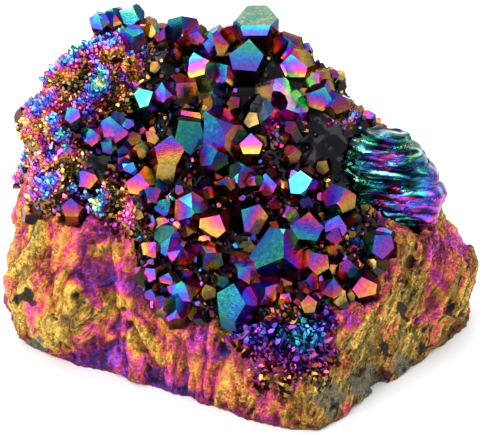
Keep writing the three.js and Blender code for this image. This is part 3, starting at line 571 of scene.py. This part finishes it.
def merged_copy(node, name):
    """A copy of a CAD node with its loose triangles joined."""
    shell = shell_of(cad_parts[node].data)
    bmesh.ops.remove_doubles(shell, verts=shell.verts, dist=1e-6)
    for layer in list(shell.loops.layers.uv):
        shell.loops.layers.uv.remove(layer)
    return object_of(mesh_from(shell, name), name)


def baked(made, name):
    """The object with its modifiers applied, as a plain mesh object; the old one is removed."""
    graph = bpy.context.evaluated_depsgraph_get()
    source = made.evaluated_get(graph)
    mesh = bpy.data.meshes.new_from_object(source, preserve_all_data_layers=True, depsgraph=graph)
    mesh.name = name
    bpy.data.objects.remove(made)
    return object_of(mesh, name)


def remeshed(made, size, name):
    modifier = made.modifiers.new("skin", "REMESH")
    modifier.mode = "VOXEL"
    modifier.voxel_size = size
    return baked(made, name)


def run_tree(made, tree, name, **values):
    """Runs a Geometry Nodes tree on the object and keeps the result as a plain mesh object."""
    modifier = made.modifiers.new("shape", "NODES")
    modifier.node_group = tree
    for item in tree.interface.items_tree:
        if item.in_out == "INPUT" and item.name.replace(" ", "_") in values:
            modifier[item.identifier] = values[item.name.replace(" ", "_")]
    return baked(made, name)


def points_and_normals(mesh):
    """Vertex places in millimetres, and vertex normals."""
    places, normals = np.empty((2, len(mesh.vertices) * 3), np.float32)
    mesh.vertices.foreach_get("co", places)
    mesh.vertex_normals.foreach_get("vector", normals)
    return places.reshape(-1, 3) / MM, normals.reshape(-1, 3)


def keep_values(mesh, name, values, domain="POINT"):
    layer = mesh.attributes.new(name, "FLOAT", domain)
    layer.data.foreach_set("value", np.asarray(values, np.float32))


def layout_of(places):
    """The (u, v) of places in millimetres."""
    return places @ np.array(ACROSS), (places - np.array(LAYOUT_CENTRE)) @ np.array(UPSLOPE)


def with_spots(places, spots, base=0.0):
    """Base values that turn into each soft spot's value inside its wavering edge."""
    u, v = layout_of(places)
    u_waver = 0.7 * np.sin(1.1 * v + 0.7 * u) + 0.4 * np.sin(2.9 * v - 1.7 * u)
    v_waver = 0.7 * np.sin(1.3 * u - 0.6 * v) + 0.4 * np.sin(2.3 * u + 2.1 * v)
    total = np.zeros(len(places)) + base
    for spot_u, spot_v, radius, value in spots:
        reach = np.hypot(u + u_waver - spot_u, v + v_waver - spot_v) / radius
        total += smoothed(np.clip(1.5 - reach, 0, 1)) * (value - total)
    return total


# ---------------------------------------------------------------- quartz points
def layout_axis(length, du, dv):
    rise = math.sqrt(max(length * length - du * du - dv * dv, 1))
    return laid_out(du, dv, rise).normalized()


def leant(axis):
    return Vector((0, 0, 1)).rotation_difference(axis).to_matrix()


def sides_and_tips(spin=0.0):
    """The directions of a point's six sides, each with its tip face's, which isn't a unit long."""
    for k in range(6):
        turn = spin + k * math.pi / 3
        side = Vector((math.cos(turn), math.sin(turn), 0))
        yield side, Vector((TIP_STEEPNESS * side.x, TIP_STEEPNESS * side.y, 1))


def quartz_planes(seed, radius, length, root):
    """The planes (normal, distance) of a quartz point on +Z: six sides, six tip faces and the root."""
    planes = [(Vector((0, 0, -1)), root)]
    for k, (side, tip) in enumerate(sides_and_tips()):
        planes.append((side, radius * (0.9 + 0.2 * chance(seed, k))))
        small = SMALL_FACE * (0.1 + 1.8 * chance(seed, 20)) if k % 2 else 0
        high = length + radius * (small + 0.3 * (chance(seed, k + 6) - 0.5))
        planes.append((tip / tip.length, high / tip.length))
    return planes


def crystal_shell(planes):
    """The closed convex body inside the planes, as a bmesh."""
    shell = bmesh.new()
    for (a, da), (b, db), (c, dc) in itertools.combinations(planes, 3):
        volume = a.dot(b.cross(c))
        if abs(volume) < 1e-6:
            continue
        corner = (b.cross(c) * da + c.cross(a) * db + a.cross(b) * dc) / volume
        if all(normal.dot(corner) < distance + 1e-5 for normal, distance in planes):
            shell.verts.new(corner)
    bmesh.ops.remove_doubles(shell, verts=shell.verts, dist=1e-3)
    bmesh.ops.convex_hull(shell, input=shell.verts)
    bmesh.ops.dissolve_limit(shell, angle_limit=0.02, verts=shell.verts, edges=shell.edges)
    bmesh.ops.recalc_face_normals(shell, faces=shell.faces)
    return shell


def facet_owners(mesh):
    """For each face of the crust, the number of its crystal (-1 for none) and of its facet there."""
    centres = array_of(p.center for p in mesh.polygons) / MM
    normals = array_of(p.normal for p in mesh.polygons)
    u, v = layout_of(centres)
    owner = np.full(len(centres), -1)
    facet = np.zeros(len(centres), int)
    best = np.full(len(centres), FLATNESS)
    for number, (root_u, root_v, radius, length, du, dv, spin, _, _) in enumerate(ALL_POINTS):
        run = max(du * du + dv * dv, 1e-6)
        along = np.clip(((u - root_u) * du + (v - root_v) * dv) / run, -0.6, 1.0)
        reach = radius * (1.6 if number == HOLLOW else 1.25) + 0.3
        near = np.hypot(u - root_u - along * du, v - root_v - along * dv) < reach
        lean = leant(layout_axis(length, du, dv))
        for k, normal in enumerate(itertools.chain(*sides_and_tips(math.radians(spin)))):
            match = normals @ np.array(lean @ normal.normalized())
            hit = near & (match > best)
            owner[hit] = number
            facet[hit] = k
            best[hit] = match[hit]
    top_u, top_v = BLUNT_POINT[0] + BLUNT_POINT[4], BLUNT_POINT[1] + BLUNT_POINT[5]
    level = (normals[:, 2] > 0.999) & (np.hypot(u - top_u, v - top_v) < 5) & (centres[:, 2] > BLUNT_LEVEL)
    owner[level] = BLUNT
    pit_u, pit_v = HOLLOW_POINT[0] + HOLLOW_SHIFT[0], HOLLOW_POINT[1] + HOLLOW_SHIFT[1]
    pit = (owner < 0) & (np.hypot(u - pit_u, v - pit_v) < HOLLOW_RADIUS + 0.3)
    owner[pit] = HOLLOW
    facet[pit] = PIT
    return owner, facet


def film_on_point(number, row, facet, normal, corner, top):
    """Film thickness and painted light and shade at a corner of a crystal's face, the places being in
    millimetres.
    """
    u, v, radius, length, du, dv, _, tip, fall = row
    down = (top - corner.dot(layout_axis(length, du, dv))) / (TIP_STEEPNESS * radius)
    # painted shade in the pit, darker the deeper it goes
    if facet == PIT:
        return 0.55 - 0.3 * down, max(0.55 - 0.5 * down, 0.06)
    if number == BLUNT and normal.z > 0.99:
        return 0.95, 1.1
    own = FACET_SPREAD * 2 * (chance(number, facet + 40) - 0.5)
    faced = normal.dot(VAPOUR_AND_PAINTED_LIGHT)
    sideways = (0.16 * chance(number, 77) - 0.12) * (corner.dot(ACROSS) - u - du) / radius
    film = tip + own - 1.35 * fall * down + 0.3 * (faced - 0.22) + sideways
    film = min(film, max(tip, 0.87))
    # coat: how far the face turns to the painted light, with a random share; it sets the painted light and
    # shade
    coat = min(max((faced + 0.6 * (chance(number, facet + 90) - 0.5) + 0.1) / 0.8, 0), 1)
    shade = (0.34 + 0.76 * smoothed(coat)) * (0.85 + 0.45 * chance(number, 55))
    # painted brighter on the crest
    if v > CREST:
        film -= 0.12 * down
        shade *= 1.25
    # painted shade low on the sides
    shade *= 1 - 0.5 * max(down - 0.7, 0)
    # painted highlight on the hollow point; the blunt and the shaded points are painted darker
    if number == HOLLOW:
        film = 0.86 + own / 2 + 0.35 * normal.dot(UPSLOPE) - 0.25 * normal.dot(ACROSS)
        film -= fall * max(down - 0.4, 0)
        shade = 2.1 + 1.1 * coat
    elif number == BLUNT:
        film = 0.8 - 0.75 * max(down, 0)
        shade *= 0.7
    elif number == SHADED:
        film = 0.9 - 0.35 * down
        shade *= 0.35
    return max(film, 0.05), max(shade, 0.11)


def split_skin(shell, owner_of):
    """Cuts the long edges between the skin's faces, so that the skin can be given lumps."""
    for _ in range(4):
        long_edges = [
            e for e in shell.edges
            if e.calc_length() > SKIN_EDGE and all(f[owner_of] < 0 for f in e.link_faces)
        ]
        bmesh.ops.subdivide_edges(shell, edges=long_edges, cuts=1)
        bmesh.ops.triangulate(shell, faces=[f for f in shell.faces if len(f.verts) > 3])


def noise_at(places, scale):
    return np.array([noise.noise(Vector(p) * scale) for p in places])


def lumps_at(places):
    """Height of the druse's rounded knobs, with sharp grooves between them."""
    return 2.6 * np.abs(noise_at(places, 0.19)) - 0.5 + 0.3 * noise_at(places, 0.6)


def crust_coat(places, normals, base):
    """Film over the crust's skin; on the druse it is thicker on what faces up and stands out."""
    up = normals @ np.array(SKYWARD)
    fine = with_spots(places, FINE_SPOTS)
    return with_spots(places, CRUST_SPOTS, base) + (0.35 * lumps_at(places) + 0.8 * (up - 0.75)) * fine


def lump_skin(shell, owner_of):
    """Raises small lumps on the skin between the crystals, most where it carries the finest crystals."""
    places = array_of(v.co for v in shell.verts) / MM
    fine = with_spots(places, FINE_SPOTS)
    for vert, lump, share in zip(shell.verts, lumps_at(places), fine):
        if any(f[owner_of] >= 0 for f in vert.link_faces) or vert.normal.dot(OUTWARD) < -0.3:
            continue
        vert.co += vert.normal * float(lump * (0.3 + 1.5 * share)) * MM
    return fine, np.clip(with_spots(places, DARK_SPOTS), 0, 1)


def coat_crust(made):
    """Splits the skin of the crust and gives every corner of its faces its film and its painted light and
    shade.
    """
    owner, facet = facet_owners(made.data)
    shell = shell_of(made.data)
    owner_of = shell.faces.layers.int.new("owner")
    facet_of = shell.faces.layers.int.new("facet")
    for face in shell.faces:
        face[owner_of] = int(owner[face.index])
        face[facet_of] = int(facet[face.index])
    split_skin(shell, owner_of)
    fine, dark = lump_skin(shell, owner_of)
    # painted shade on the skin between the points, darker on the dark spots, lighter where it carries the
    # finest crystals
    skin_shade = SKIN_SHADE * (1 - dark) + 0.6 * fine
    shell.normal_update()
    film_of, shade_of = coat_layers(shell)
    tops = {}
    for face in shell.faces:
        number = face[owner_of]
        if number >= 0:
            axis = layout_axis(*ALL_POINTS[number][3:6])
            highest = max(v.co.dot(axis) for v in face.verts) / MM
            tops[number] = max(highest, tops.get(number, -1e9))
    places = array_of(v.co for v in shell.verts) / MM
    normals = array_of(v.normal for v in shell.verts)
    skin_film = crust_coat(places, normals, 0.3 + 0.25 * np.sin(places[:, 0] * 0.9 + places[:, 2] * 1.3))
    shell.verts.index_update()
    for edge in shell.edges:
        edge.smooth = all(f[owner_of] < 0 for f in edge.link_faces)
    for face in shell.faces:
        number = face[owner_of]
        face.smooth = number < 0
        for loop in face.loops:
            corner = loop.vert
            if number < 0:
                values = max(skin_film[corner.index], 0.1), skin_shade[corner.index]
            else:
                row = ALL_POINTS[number]
                top = tops[number]
                values = film_on_point(number, row, face[facet_of], face.normal, corner.co / MM, top)
            loop[film_of], loop[shade_of] = values
    shell.to_mesh(made.data)
    shell.free()


def crust_point(u, v):
    """Where the outward line at (u, v) meets the crust, in millimetres."""
    hit, place, _, _ = crust.ray_cast((laid_out(u, v, 80) + LAYOUT_CENTRE) * MM, -OUTWARD)
    if not hit:
        raise RuntimeError("no crust at %.1f, %.1f" % (u, v))
    return place / MM


def fill_points():
    """The fill crystals, each a closed point with its root sunk in the crust."""
    shells = bmesh.new()
    film_of, shade_of = coat_layers(shells)
    for number, row in enumerate(FILL_POINTS):
        row = leaning(number, row)
        u, v, radius, length, du, dv, spin, _, _ = row
        axis = layout_axis(length, du, dv)
        root = crust_point(u, v)
        point = crystal_shell(quartz_planes(FILL_SEED + number, radius, length, 1.2))
        turn = leant(axis) @ Matrix.Rotation(math.radians(spin), 3, "Z")
        made = {vert: shells.verts.new((root + turn @ vert.co) * MM) for vert in point.verts}
        top = max((root + turn @ vert.co).dot(axis) for vert in point.verts)
        for index, face in enumerate(point.faces):
            faces_to = turn @ face.normal
            placed = shells.faces.new([made[vert] for vert in face.verts])
            for loop in placed.loops:
                corner = loop.vert.co / MM
                loop[film_of], loop[shade_of] = film_on_point(
                    FILL_SEED + number, row, index % 12, faces_to, corner, top
                )
        point.free()
    return mesh_from(shells, "fill points")


def quartz_prototype(seed, slender):
    """One small quartz point, a unit wide, rooted at the origin, with its own film step on each face."""
    mesh = mesh_from(crystal_shell(quartz_planes(seed, 0.5, slender, 0.4)), "quartz prototype")
    top = max(v.co.z for v in mesh.vertices)
    keep_values(mesh, "rise", [v.co.z / top for v in mesh.vertices])
    keep_values(mesh, "own", [chance(seed, 60 + i) - 0.5 for i in range(len(mesh.polygons))], "FACE")
    return mesh


def prototype_collection():
    collection = bpy.data.collections.new("quartz prototypes")
    for i, slender in enumerate((0.5, 0.7, 0.9, 0.6, 1.2)):
        collection.objects.link(bpy.data.objects.new("prototype", quartz_prototype(11 + i, slender)))
    return collection


# ---------------------------------------------------------------- geometry nodes
def stored(board, geometry, name, value, domain="POINT", kind="FLOAT"):
    return board.add(
        "GeometryNodeStoreNamedAttribute", {"data_type": kind, "domain": domain},
        Geometry=geometry, Name=name, Value=value,
    )


def named(board, name, kind="FLOAT"):
    return board.add("GeometryNodeInputNamedAttribute", {"data_type": kind}, name)


def finished(board, geometry, material):
    finish = board.add("GeometryNodeSetMaterial", Geometry=geometry, Material=material)
    board.add("NodeGroupOutput", None, finish)


def grown_points_tree():
    """Grows small quartz points over a ground, and coats each with its own film and its painted light and
    shade.
    """
    inputs = {
        "Geometry": "Geometry", "Cover": "String", "Quartz": "Collection", "Finish": "Material",
        "Seed": "Int", "Spacing": 1 * MM, "Smallest": 1 * MM, "Largest": 2 * MM, "Stretch": 1.0,
        "Lean up": 0.4, "Tilt": 0.4, "Film spread": 0.2, "Face spread": 0.14, "Film fall": 0.3,
        "Facing film": 0.1, "Darkest": 0.2, "Dulling": 1.0, "Evenness": 0.0, "Root shade": 0.3, "Pale": 0.0,
    }
    tree, board, source = new_tree("grown points", "GeometryNodeTree", inputs, {"Geometry": "Geometry"})

    def random_float(low, high, number):
        drawn = board.add("FunctionNodeRandomValue", {"data_type": "FLOAT"})
        sockets = {s.identifier: s for s in drawn.node.inputs}
        for name, value in (("Min_001", low), ("Max_001", high), ("Seed", source["Seed"] + number)):
            board.wire(sockets[name], value)
        return drawn[[s.identifier for s in drawn.node.outputs].index("Value_001")]

    def either_way(most, number):
        return random_float(most * -1.0, most, number)

    scatter = board.add(
        "GeometryNodeDistributePointsOnFaces", {"distribute_method": "POISSON"}, Mesh=source["Geometry"],
        Distance_Min=source["Spacing"], Density_Max=MOST_POINTS,
        Density_Factor=named(board, source["Cover"]), Seed=source["Seed"],
    )
    normal = scatter["Normal"]
    upslope = board.scaled(tuple(UPSLOPE), source["Lean up"])
    upright = board.vector("ADD", normal, upslope)
    upright = board.add("FunctionNodeAlignRotationToVector", {"axis": "Z"}, Vector=upright)
    size = board.math("POWER", random_float(0.0, 1.0, 1), 1.3)
    size = board.lerp(size, source["Smallest"], source["Largest"])
    quartz = board.add(
        "GeometryNodeCollectionInfo", {"transform_space": "ORIGINAL"}, Collection=source["Quartz"],
        Separate_Children=True, Reset_Children=True,
    )
    place = board.add(
        "GeometryNodeInstanceOnPoints", Instance=quartz, Pick_Instance=True, Rotation=upright,
        Points=stored(board, scatter, "ground normal", normal, kind="FLOAT_VECTOR"),
        Scale=board.add("ShaderNodeCombineXYZ", None, size, size, size * source["Stretch"]),
    )
    tilt = source["Tilt"]
    turn = (either_way(tilt, 2), either_way(tilt, 3), random_float(0.0, 2 * math.pi, 4))
    turn = board.add("ShaderNodeCombineXYZ", None, *turn)
    turned = board.add("GeometryNodeRotateInstances", Instances=place, Rotation=turn)

    grown_on = named(board, "ground normal", "FLOAT_VECTOR")
    film = named(board, "coat") + either_way(source["Film spread"], 5)
    film = film + (board.dot(grown_on, SKYWARD) - 0.6) * source["Facing film"]
    toned = stored(board, turned, "tone", film, "INSTANCE")
    clean = board.math("POWER", random_float(0.0, 1.0, 6), source["Dulling"])
    toned = stored(board, toned, "dark", board.lerp(clean, source["Darkest"], 1.0), "INSTANCE")
    real = board.add("GeometryNodeRealizeInstances", Geometry=toned)
    rise = named(board, "rise")
    film = named(board, "tone") - (1.0 - rise) * source["Film fall"]
    film = film + named(board, "own") * source["Face spread"]
    coated = stored(board, real, "film", board.math("MAXIMUM", film, 0.05), "CORNER")
    # painted light: faces turned to the vapour's way are painted brighter, and roots are painted in shade
    faced = board.dot(board.add("GeometryNodeInputNormal"), VAPOUR_AND_PAINTED_LIGHT)
    faced = board.lerp(source["Evenness"], faced, board.dot(grown_on, VAPOUR_AND_PAINTED_LIGHT))
    shade = named(board, "dark") * faced.spread(0.0, 0.75, 0.15, 1.3)
    shade = shade * rise.spread(0.0, 0.9, source["Root shade"], 1.0)
    coated = stored(board, coated, "shade", shade, "CORNER")
    finished(board, stored(board, coated, "pale", source["Pale"]), source["Finish"])
    return tree


def weathered_tree():
    """Roughens a broken rock: swells, rounded folds with sharp grooves, leaves along the grain and pits."""
    inputs = {
        "Geometry": "Geometry", "Finish": "Material", "Swell height": 1.6, "Fold height": 1.8,
        "Leaf height": 0.9, "Wrinkle height": 0.3, "Pit depth": 1.0,
    }
    tree, board, source = new_tree("weathered rock", "GeometryNodeTree", inputs, {"Geometry": "Geometry"})

    def rounded(place, stretch, scale, warp):
        """Rounded ridges between sharp grooves, from -0.5 to 0.5."""
        swing = board.noise(board.vector("MULTIPLY", place, stretch), scale, 3.0, 0.55, warp) - 0.5
        return board.math("ABSOLUTE", swing).spread(0.0, 0.17, smooth=False) - 0.5

    place = board.scaled(board.add("GeometryNodeInputPosition"), 1 / MM)
    normal = board.add("GeometryNodeInputNormal")
    leaf = board.add("ShaderNodeCombineXYZ", None, *[board.dot(place, axis) for axis in LEAF_AXES])
    right = board.dot(normal, RIGHT_WALL).spread(0.35, 0.75)
    folds = rounded(place, (1.0, 1.0, 0.3), 0.13, 1.2) * source["Fold height"]
    leaves = rounded(leaf, (1.0, 0.12, 0.4), 0.36, 0.3) * source["Leaf height"]
    slits = board.cells(board.vector("MULTIPLY", leaf, (1.0, 0.35, 0.6)), 0.36)
    slits = slits.spread(0.12, 0.3, 1.0, 0.0)
    holes = board.cells(place, 0.3).spread(0.1, 0.24, 1.0, 0.0)
    pits = board.lerp(right, holes, slits) * board.noise(place, 0.16, 2.0).spread(0.46, 0.6)
    above = board.add("ShaderNodeSeparateXYZ", None, place)["Z"]
    height = (board.noise(place, 0.14, 3.0, 0.55, 0.6) - 0.5) * source["Swell height"]
    height = height + board.lerp(right, folds, leaves)
    height = height + rounded(place, (1.0, 1.0, 0.6), 0.6, 1.0) * source["Wrinkle height"]
    height = (height - pits * source["Pit depth"]) * above.spread(0.0, 1.2)
    # these are stored before the surface moves
    # the crest and the pits also set the rock's painted light and shade
    marked = stored(board, source["Geometry"], "crest", height.spread(-1.1, 1.1, smooth=False))
    marked = stored(board, marked, "leaf", leaf, kind="FLOAT_VECTOR")
    marked = stored(board, marked, "right_wall", right)
    marked = stored(board, marked, "pit", pits)
    offset = board.scaled(normal, height * MM)
    shaped = board.add("GeometryNodeSetPosition", Geometry=marked, Offset=offset)
    finished(board, board.add("GeometryNodeSetShadeSmooth", None, shaped), source["Finish"])
    return tree


# ---------------------------------------------------------------- the pieces
ALL_POINTS = [*itertools.starmap(leaning, enumerate(FRONT_POINTS)), HOLLOW_POINT, BLUNT_POINT]
FILM = film_group()
GRAIN = grain_group()
CRACKS = crack_group()
QUARTZ = coated_quartz()
ROCK = coated_rock()
STRIAE = coated_striae()
PROTOTYPES = prototype_collection()
GROWTH = grown_points_tree()


def host_rock():
    """The broken rock under the crust."""
    rough = remeshed(merged_copy("matrix", "rock"), ROCK_MESH, "rock_skin")
    made = run_tree(rough, weathered_tree(), "host_rock", Finish=ROCK)
    places, normals = points_and_normals(made.data)
    x, y, z = places.T
    patches = 0.2 + 0.15 * np.sin(x * 0.35 + 1.1) * np.sin(y * 0.4) + 0.06 * np.sin(z * 0.8)
    front = normals @ np.array(OUTWARD) > -0.35
    marks = (("film", ROCK_SPOTS, patches), ("bare", BARE_SPOTS, 0), ("hole", HOLE_SPOTS, 0))
    for name, spots, base in marks:
        keep_values(made.data, name, np.where(front, with_spots(places, spots, base), base))
    return made


def skin_ground():
    """The faces of the crust's skin that look out, with the cover for each size of crystal."""
    shell = shell_of(crust.data)
    owner_of = shell.faces.layers.int["owner"]
    hidden = [
        f for f in shell.faces
        if f[owner_of] >= 0 or f.normal.z < -0.1 or f.calc_center_median().z < LOWEST_POINTS
    ]
    bmesh.ops.delete(shell, geom=hidden, context="FACES")
    mesh = mesh_from(shell, "skin ground")
    places, normals = points_and_normals(mesh)
    fine = with_spots(places, FINE_SPOTS)
    free = 1 - 1.1 * fine - 0.95 * with_spots(places, DARK_SPOTS)
    keep_values(mesh, "fine cover", fine)
    keep_values(mesh, "cover", np.clip(free, np.where(fine > 0.1, 0, 0.04), 1))
    wander = 0.5 + 0.3 * np.sin(places[:, 0] * 1.7) * np.sin(places[:, 2] * 1.3 + 1)
    keep_values(mesh, "coat", crust_coat(places, normals, wander))
    return mesh


def nose_ground():
    """The patch of the rock's front corner that carries a skin of tiny crystals."""
    shell = shell_of(rock.data)
    cover = with_spots(points_and_normals(rock.data)[0], NOSE_SPOTS)
    unwanted = [
        f for f in shell.faces
        if max(cover[v.index] for v in f.verts) < 0.05
        or f.normal.dot(OUTWARD) < 0 or f.calc_center_median().y > NOSE_BACK
    ]
    bmesh.ops.delete(shell, geom=unwanted, context="FACES")
    mesh = mesh_from(shell, "nose ground")
    places, _ = points_and_normals(mesh)
    keep_values(mesh, "cover", with_spots(places, NOSE_SPOTS))
    keep_values(mesh, "coat", with_spots(places, ROCK_SPOTS, 0.4))
    return mesh


def grow(ground, name, **values):
    """Grows crystals on a ground; the lengths are in millimetres."""
    values = {"Cover": "cover", "Quartz": PROTOTYPES, "Finish": QUARTZ, **values}
    for length in ("Spacing", "Smallest", "Largest"):
        values[length] *= MM
    return run_tree(object_of(ground, name + "_ground"), GROWTH, name, **values)


def eased(mesh, places, share):
    """Places drawn in towards their neighbours' over and over, as far as each one's share says."""
    edges = np.empty(len(mesh.edges) * 2, np.int32)
    mesh.edges.foreach_get("vertices", edges)
    a, b = edges[::2], edges[1::2]
    many = len(places)
    count = np.bincount(edges, minlength=many)[:, None]
    for _ in range(EASING_ROUNDS):
        total = np.zeros_like(places)
        for axis in range(3):
            total[:, axis] += np.bincount(a, places[b, axis], many) + np.bincount(b, places[a, axis], many)
        places = places + share[:, None] * EASING_STEP * (total / count - places)
    return places


def striated_crystal():
    """The rounded crystal at the right: stacked plates with fine lines, its far end worn round; its ledges
    carry painted highlights and painted shade lies under them.
    """
    made = remeshed(merged_copy("striated_crystal", "striated"), STRIATED_MESH, "striated_skin")
    mesh = made.data
    axis = np.array(PLATE_AXIS)
    places, normals = points_and_normals(mesh)
    start = WORN_START + 0.15 * (places[:, 2] - WORN_HEIGHT)
    worn = smoothed(np.clip((places[:, 0] - start) / WORN_LENGTH, 0, 1))
    places = eased(mesh, places, worn) + normals * 0.45 * worn[:, None]
    x, y, _ = places.T
    height = places @ axis
    chips = noise_at(places, 0.35)
    plate = height * 0.75 + 0.14 * np.sin(x * 0.5) + 0.1 * np.sin(y * 0.5) + 0.7 * chips
    plate -= np.floor(plate)
    flakes = noise_at(np.column_stack((0.28 * x, 0.28 * y, 1.5 * (height + 0.6 * chips))), 1.0)
    steps = (0.5 * plate ** 2 - 0.2) * np.clip(0.75 + 1.6 * flakes, 0.15, 1.5)
    steps += 0.06 * np.sin(height * 11 + 2 * np.sin(x * 0.8))
    flank = 1 - np.abs(normals @ axis)
    moved = places + normals * (steps * flank * (1 - 0.7 * worn) + 0.6 * chips)[:, None]
    mesh.vertices.foreach_set("co", (moved * MM).astype(np.float32).ravel())
    mesh.update()
    _, normals = points_and_normals(mesh)
    # painted highlights: ledges facing up along the plates turn mint and bright, less on the worn end
    ledge = np.clip((normals @ axis - 0.35) / 0.4, 0, 1)
    lit = np.clip(0.3 + 2.6 * flakes, 0.0, 1.0) * (0.3 + 0.7 * ledge) * (1 - 0.85 * worn)
    film = with_spots(places, STRIATED_SPOTS, 0.82 + 0.1 * np.sin(height * 1.1 + 2 * chips))
    # painted shade, by spots, in the corner at the foot of each plate, with flakes painted brighter and
    # darker
    shade = with_spots(places, STRIATED_SHADES, 0.12 + 0.06 * chips)
    shade *= np.clip(0.35 + 1.6 * plate, 0, 1.3) * np.clip(1.1 + 2.2 * flakes, 0.25, 1.4)
    keep_values(mesh, "film", film + lit * (0.93 - film))
    keep_values(mesh, "shade", shade + lit * (1.4 - shade))
    mesh.materials.clear()
    mesh.materials.append(STRIAE)
    made.name = "striated_quartz"
    return made


rock = host_rock()
crust = merged_copy("crystal_crust", "quartz_points")
coat_crust(crust)
crust.data.materials.append(QUARTZ)
fill = object_of(fill_points(), "fill_points")
fill.data.materials.append(QUARTZ)
small = grow(
    skin_ground(), "small_points", Spacing=1.9, Smallest=0.8, Largest=3.4, Tilt=0.6, Seed=4,
    Darkest=0.3, Dulling=1.6, Root_shade=0.5, Film_spread=0.22, Film_fall=0.35,
)
crumbs = grow(
    skin_ground(), "crumb_points", Spacing=0.8, Smallest=0.35, Largest=1.1, Tilt=0.8, Seed=23,
    Darkest=0.22, Dulling=1.8, Root_shade=0.5, Film_spread=0.3,
)
druse = grow(
    skin_ground(), "fine_druse", Cover="fine cover", Spacing=0.33, Smallest=0.38, Largest=0.85, Stretch=1.3,
    Tilt=0.6, Seed=9, Darkest=1.4, Evenness=0.8, Root_shade=0.65, Film_spread=0.03, Face_spread=0.03,
    Film_fall=0.06, Facing_film=0.0, Pale=0.09,
)
nose = grow(
    nose_ground(), "nose_druse", Spacing=0.38, Smallest=0.35, Largest=1.1, Stretch=1.8, Tilt=0.9, Seed=15,
    Darkest=0.75, Evenness=0.4, Film_spread=0.05, Face_spread=0.07, Film_fall=0.12, Facing_film=0.35,
)
striated = striated_crystal()

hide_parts("matrix")
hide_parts("crystal_crust")
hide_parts("striated_crystal")
for piece, slot in (
    (rock, "host_rock"), (crust, "coated_quartz"), (fill, "coated_quartz"), (small, "coated_quartz"),
    (crumbs, "coated_quartz"), (druse, "coated_quartz"), (nose, "coated_quartz"),
    (striated, "coated_striated_quartz"),
):
    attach(piece, "root")


# ---------------------------------------------------------------- floor, light and camera
def floor_material():
    material, board = new_material("pale floor")
    tone = board.noise(board.add("ShaderNodeTexCoord")["Object"], 6.0, 2.0)
    board.coat(Base_Color=board.blend(tone, (0.9, 0.9, 0.9, 1), (0.93, 0.93, 0.93, 1)), Roughness=0.9)
    return material


def softbox(name, place, size, brightness):
    light = bpy.data.lights.new(name, "AREA")
    light.shape = "RECTANGLE"
    light.size, light.size_y = size
    light.energy = math.pi * size[0] * size[1] * brightness
    lamp = object_of(light, name)
    lamp.location = place
    lamp.rotation_euler = (Vector((0, 0, 0.02)) - Vector(place)).to_track_quat("-Z", "Y").to_euler()


def studio():
    shell = bmesh.new()
    bmesh.ops.create_grid(shell, x_segments=1, y_segments=1, size=3)
    floor = object_of(mesh_from(shell, "floor"), "floor")
    floor.data.materials.append(floor_material())
    world = bpy.data.worlds.new("studio")
    bpy.context.scene.world = world
    world.use_nodes = True
    background = world.node_tree.nodes["Background"]
    background.inputs["Color"].default_value = (0.9, 0.95, 1.0, 1)
    background.inputs["Strength"].default_value = WORLD_LIGHT
    for lamp in SOFTBOXES:
        softbox(*lamp)


def camera():
    """A long lens square to the layout, wide enough for the whole view."""
    lens = bpy.data.cameras.new("camera")
    lens.lens = 700
    lens.sensor_width = 36
    lens.clip_start = 0.05
    lens.clip_end = 50
    made = object_of(lens, "camera")
    made.location = LAYOUT_CENTRE * MM + OUTWARD * (VIEW_WIDTH * MM * lens.lens / lens.sensor_width)
    made.rotation_euler = (-OUTWARD).to_track_quat("-Z", "Y").to_euler()
    bpy.context.scene.camera = made


studio()
camera()
bpy.context.scene.view_settings.view_transform = "Standard"
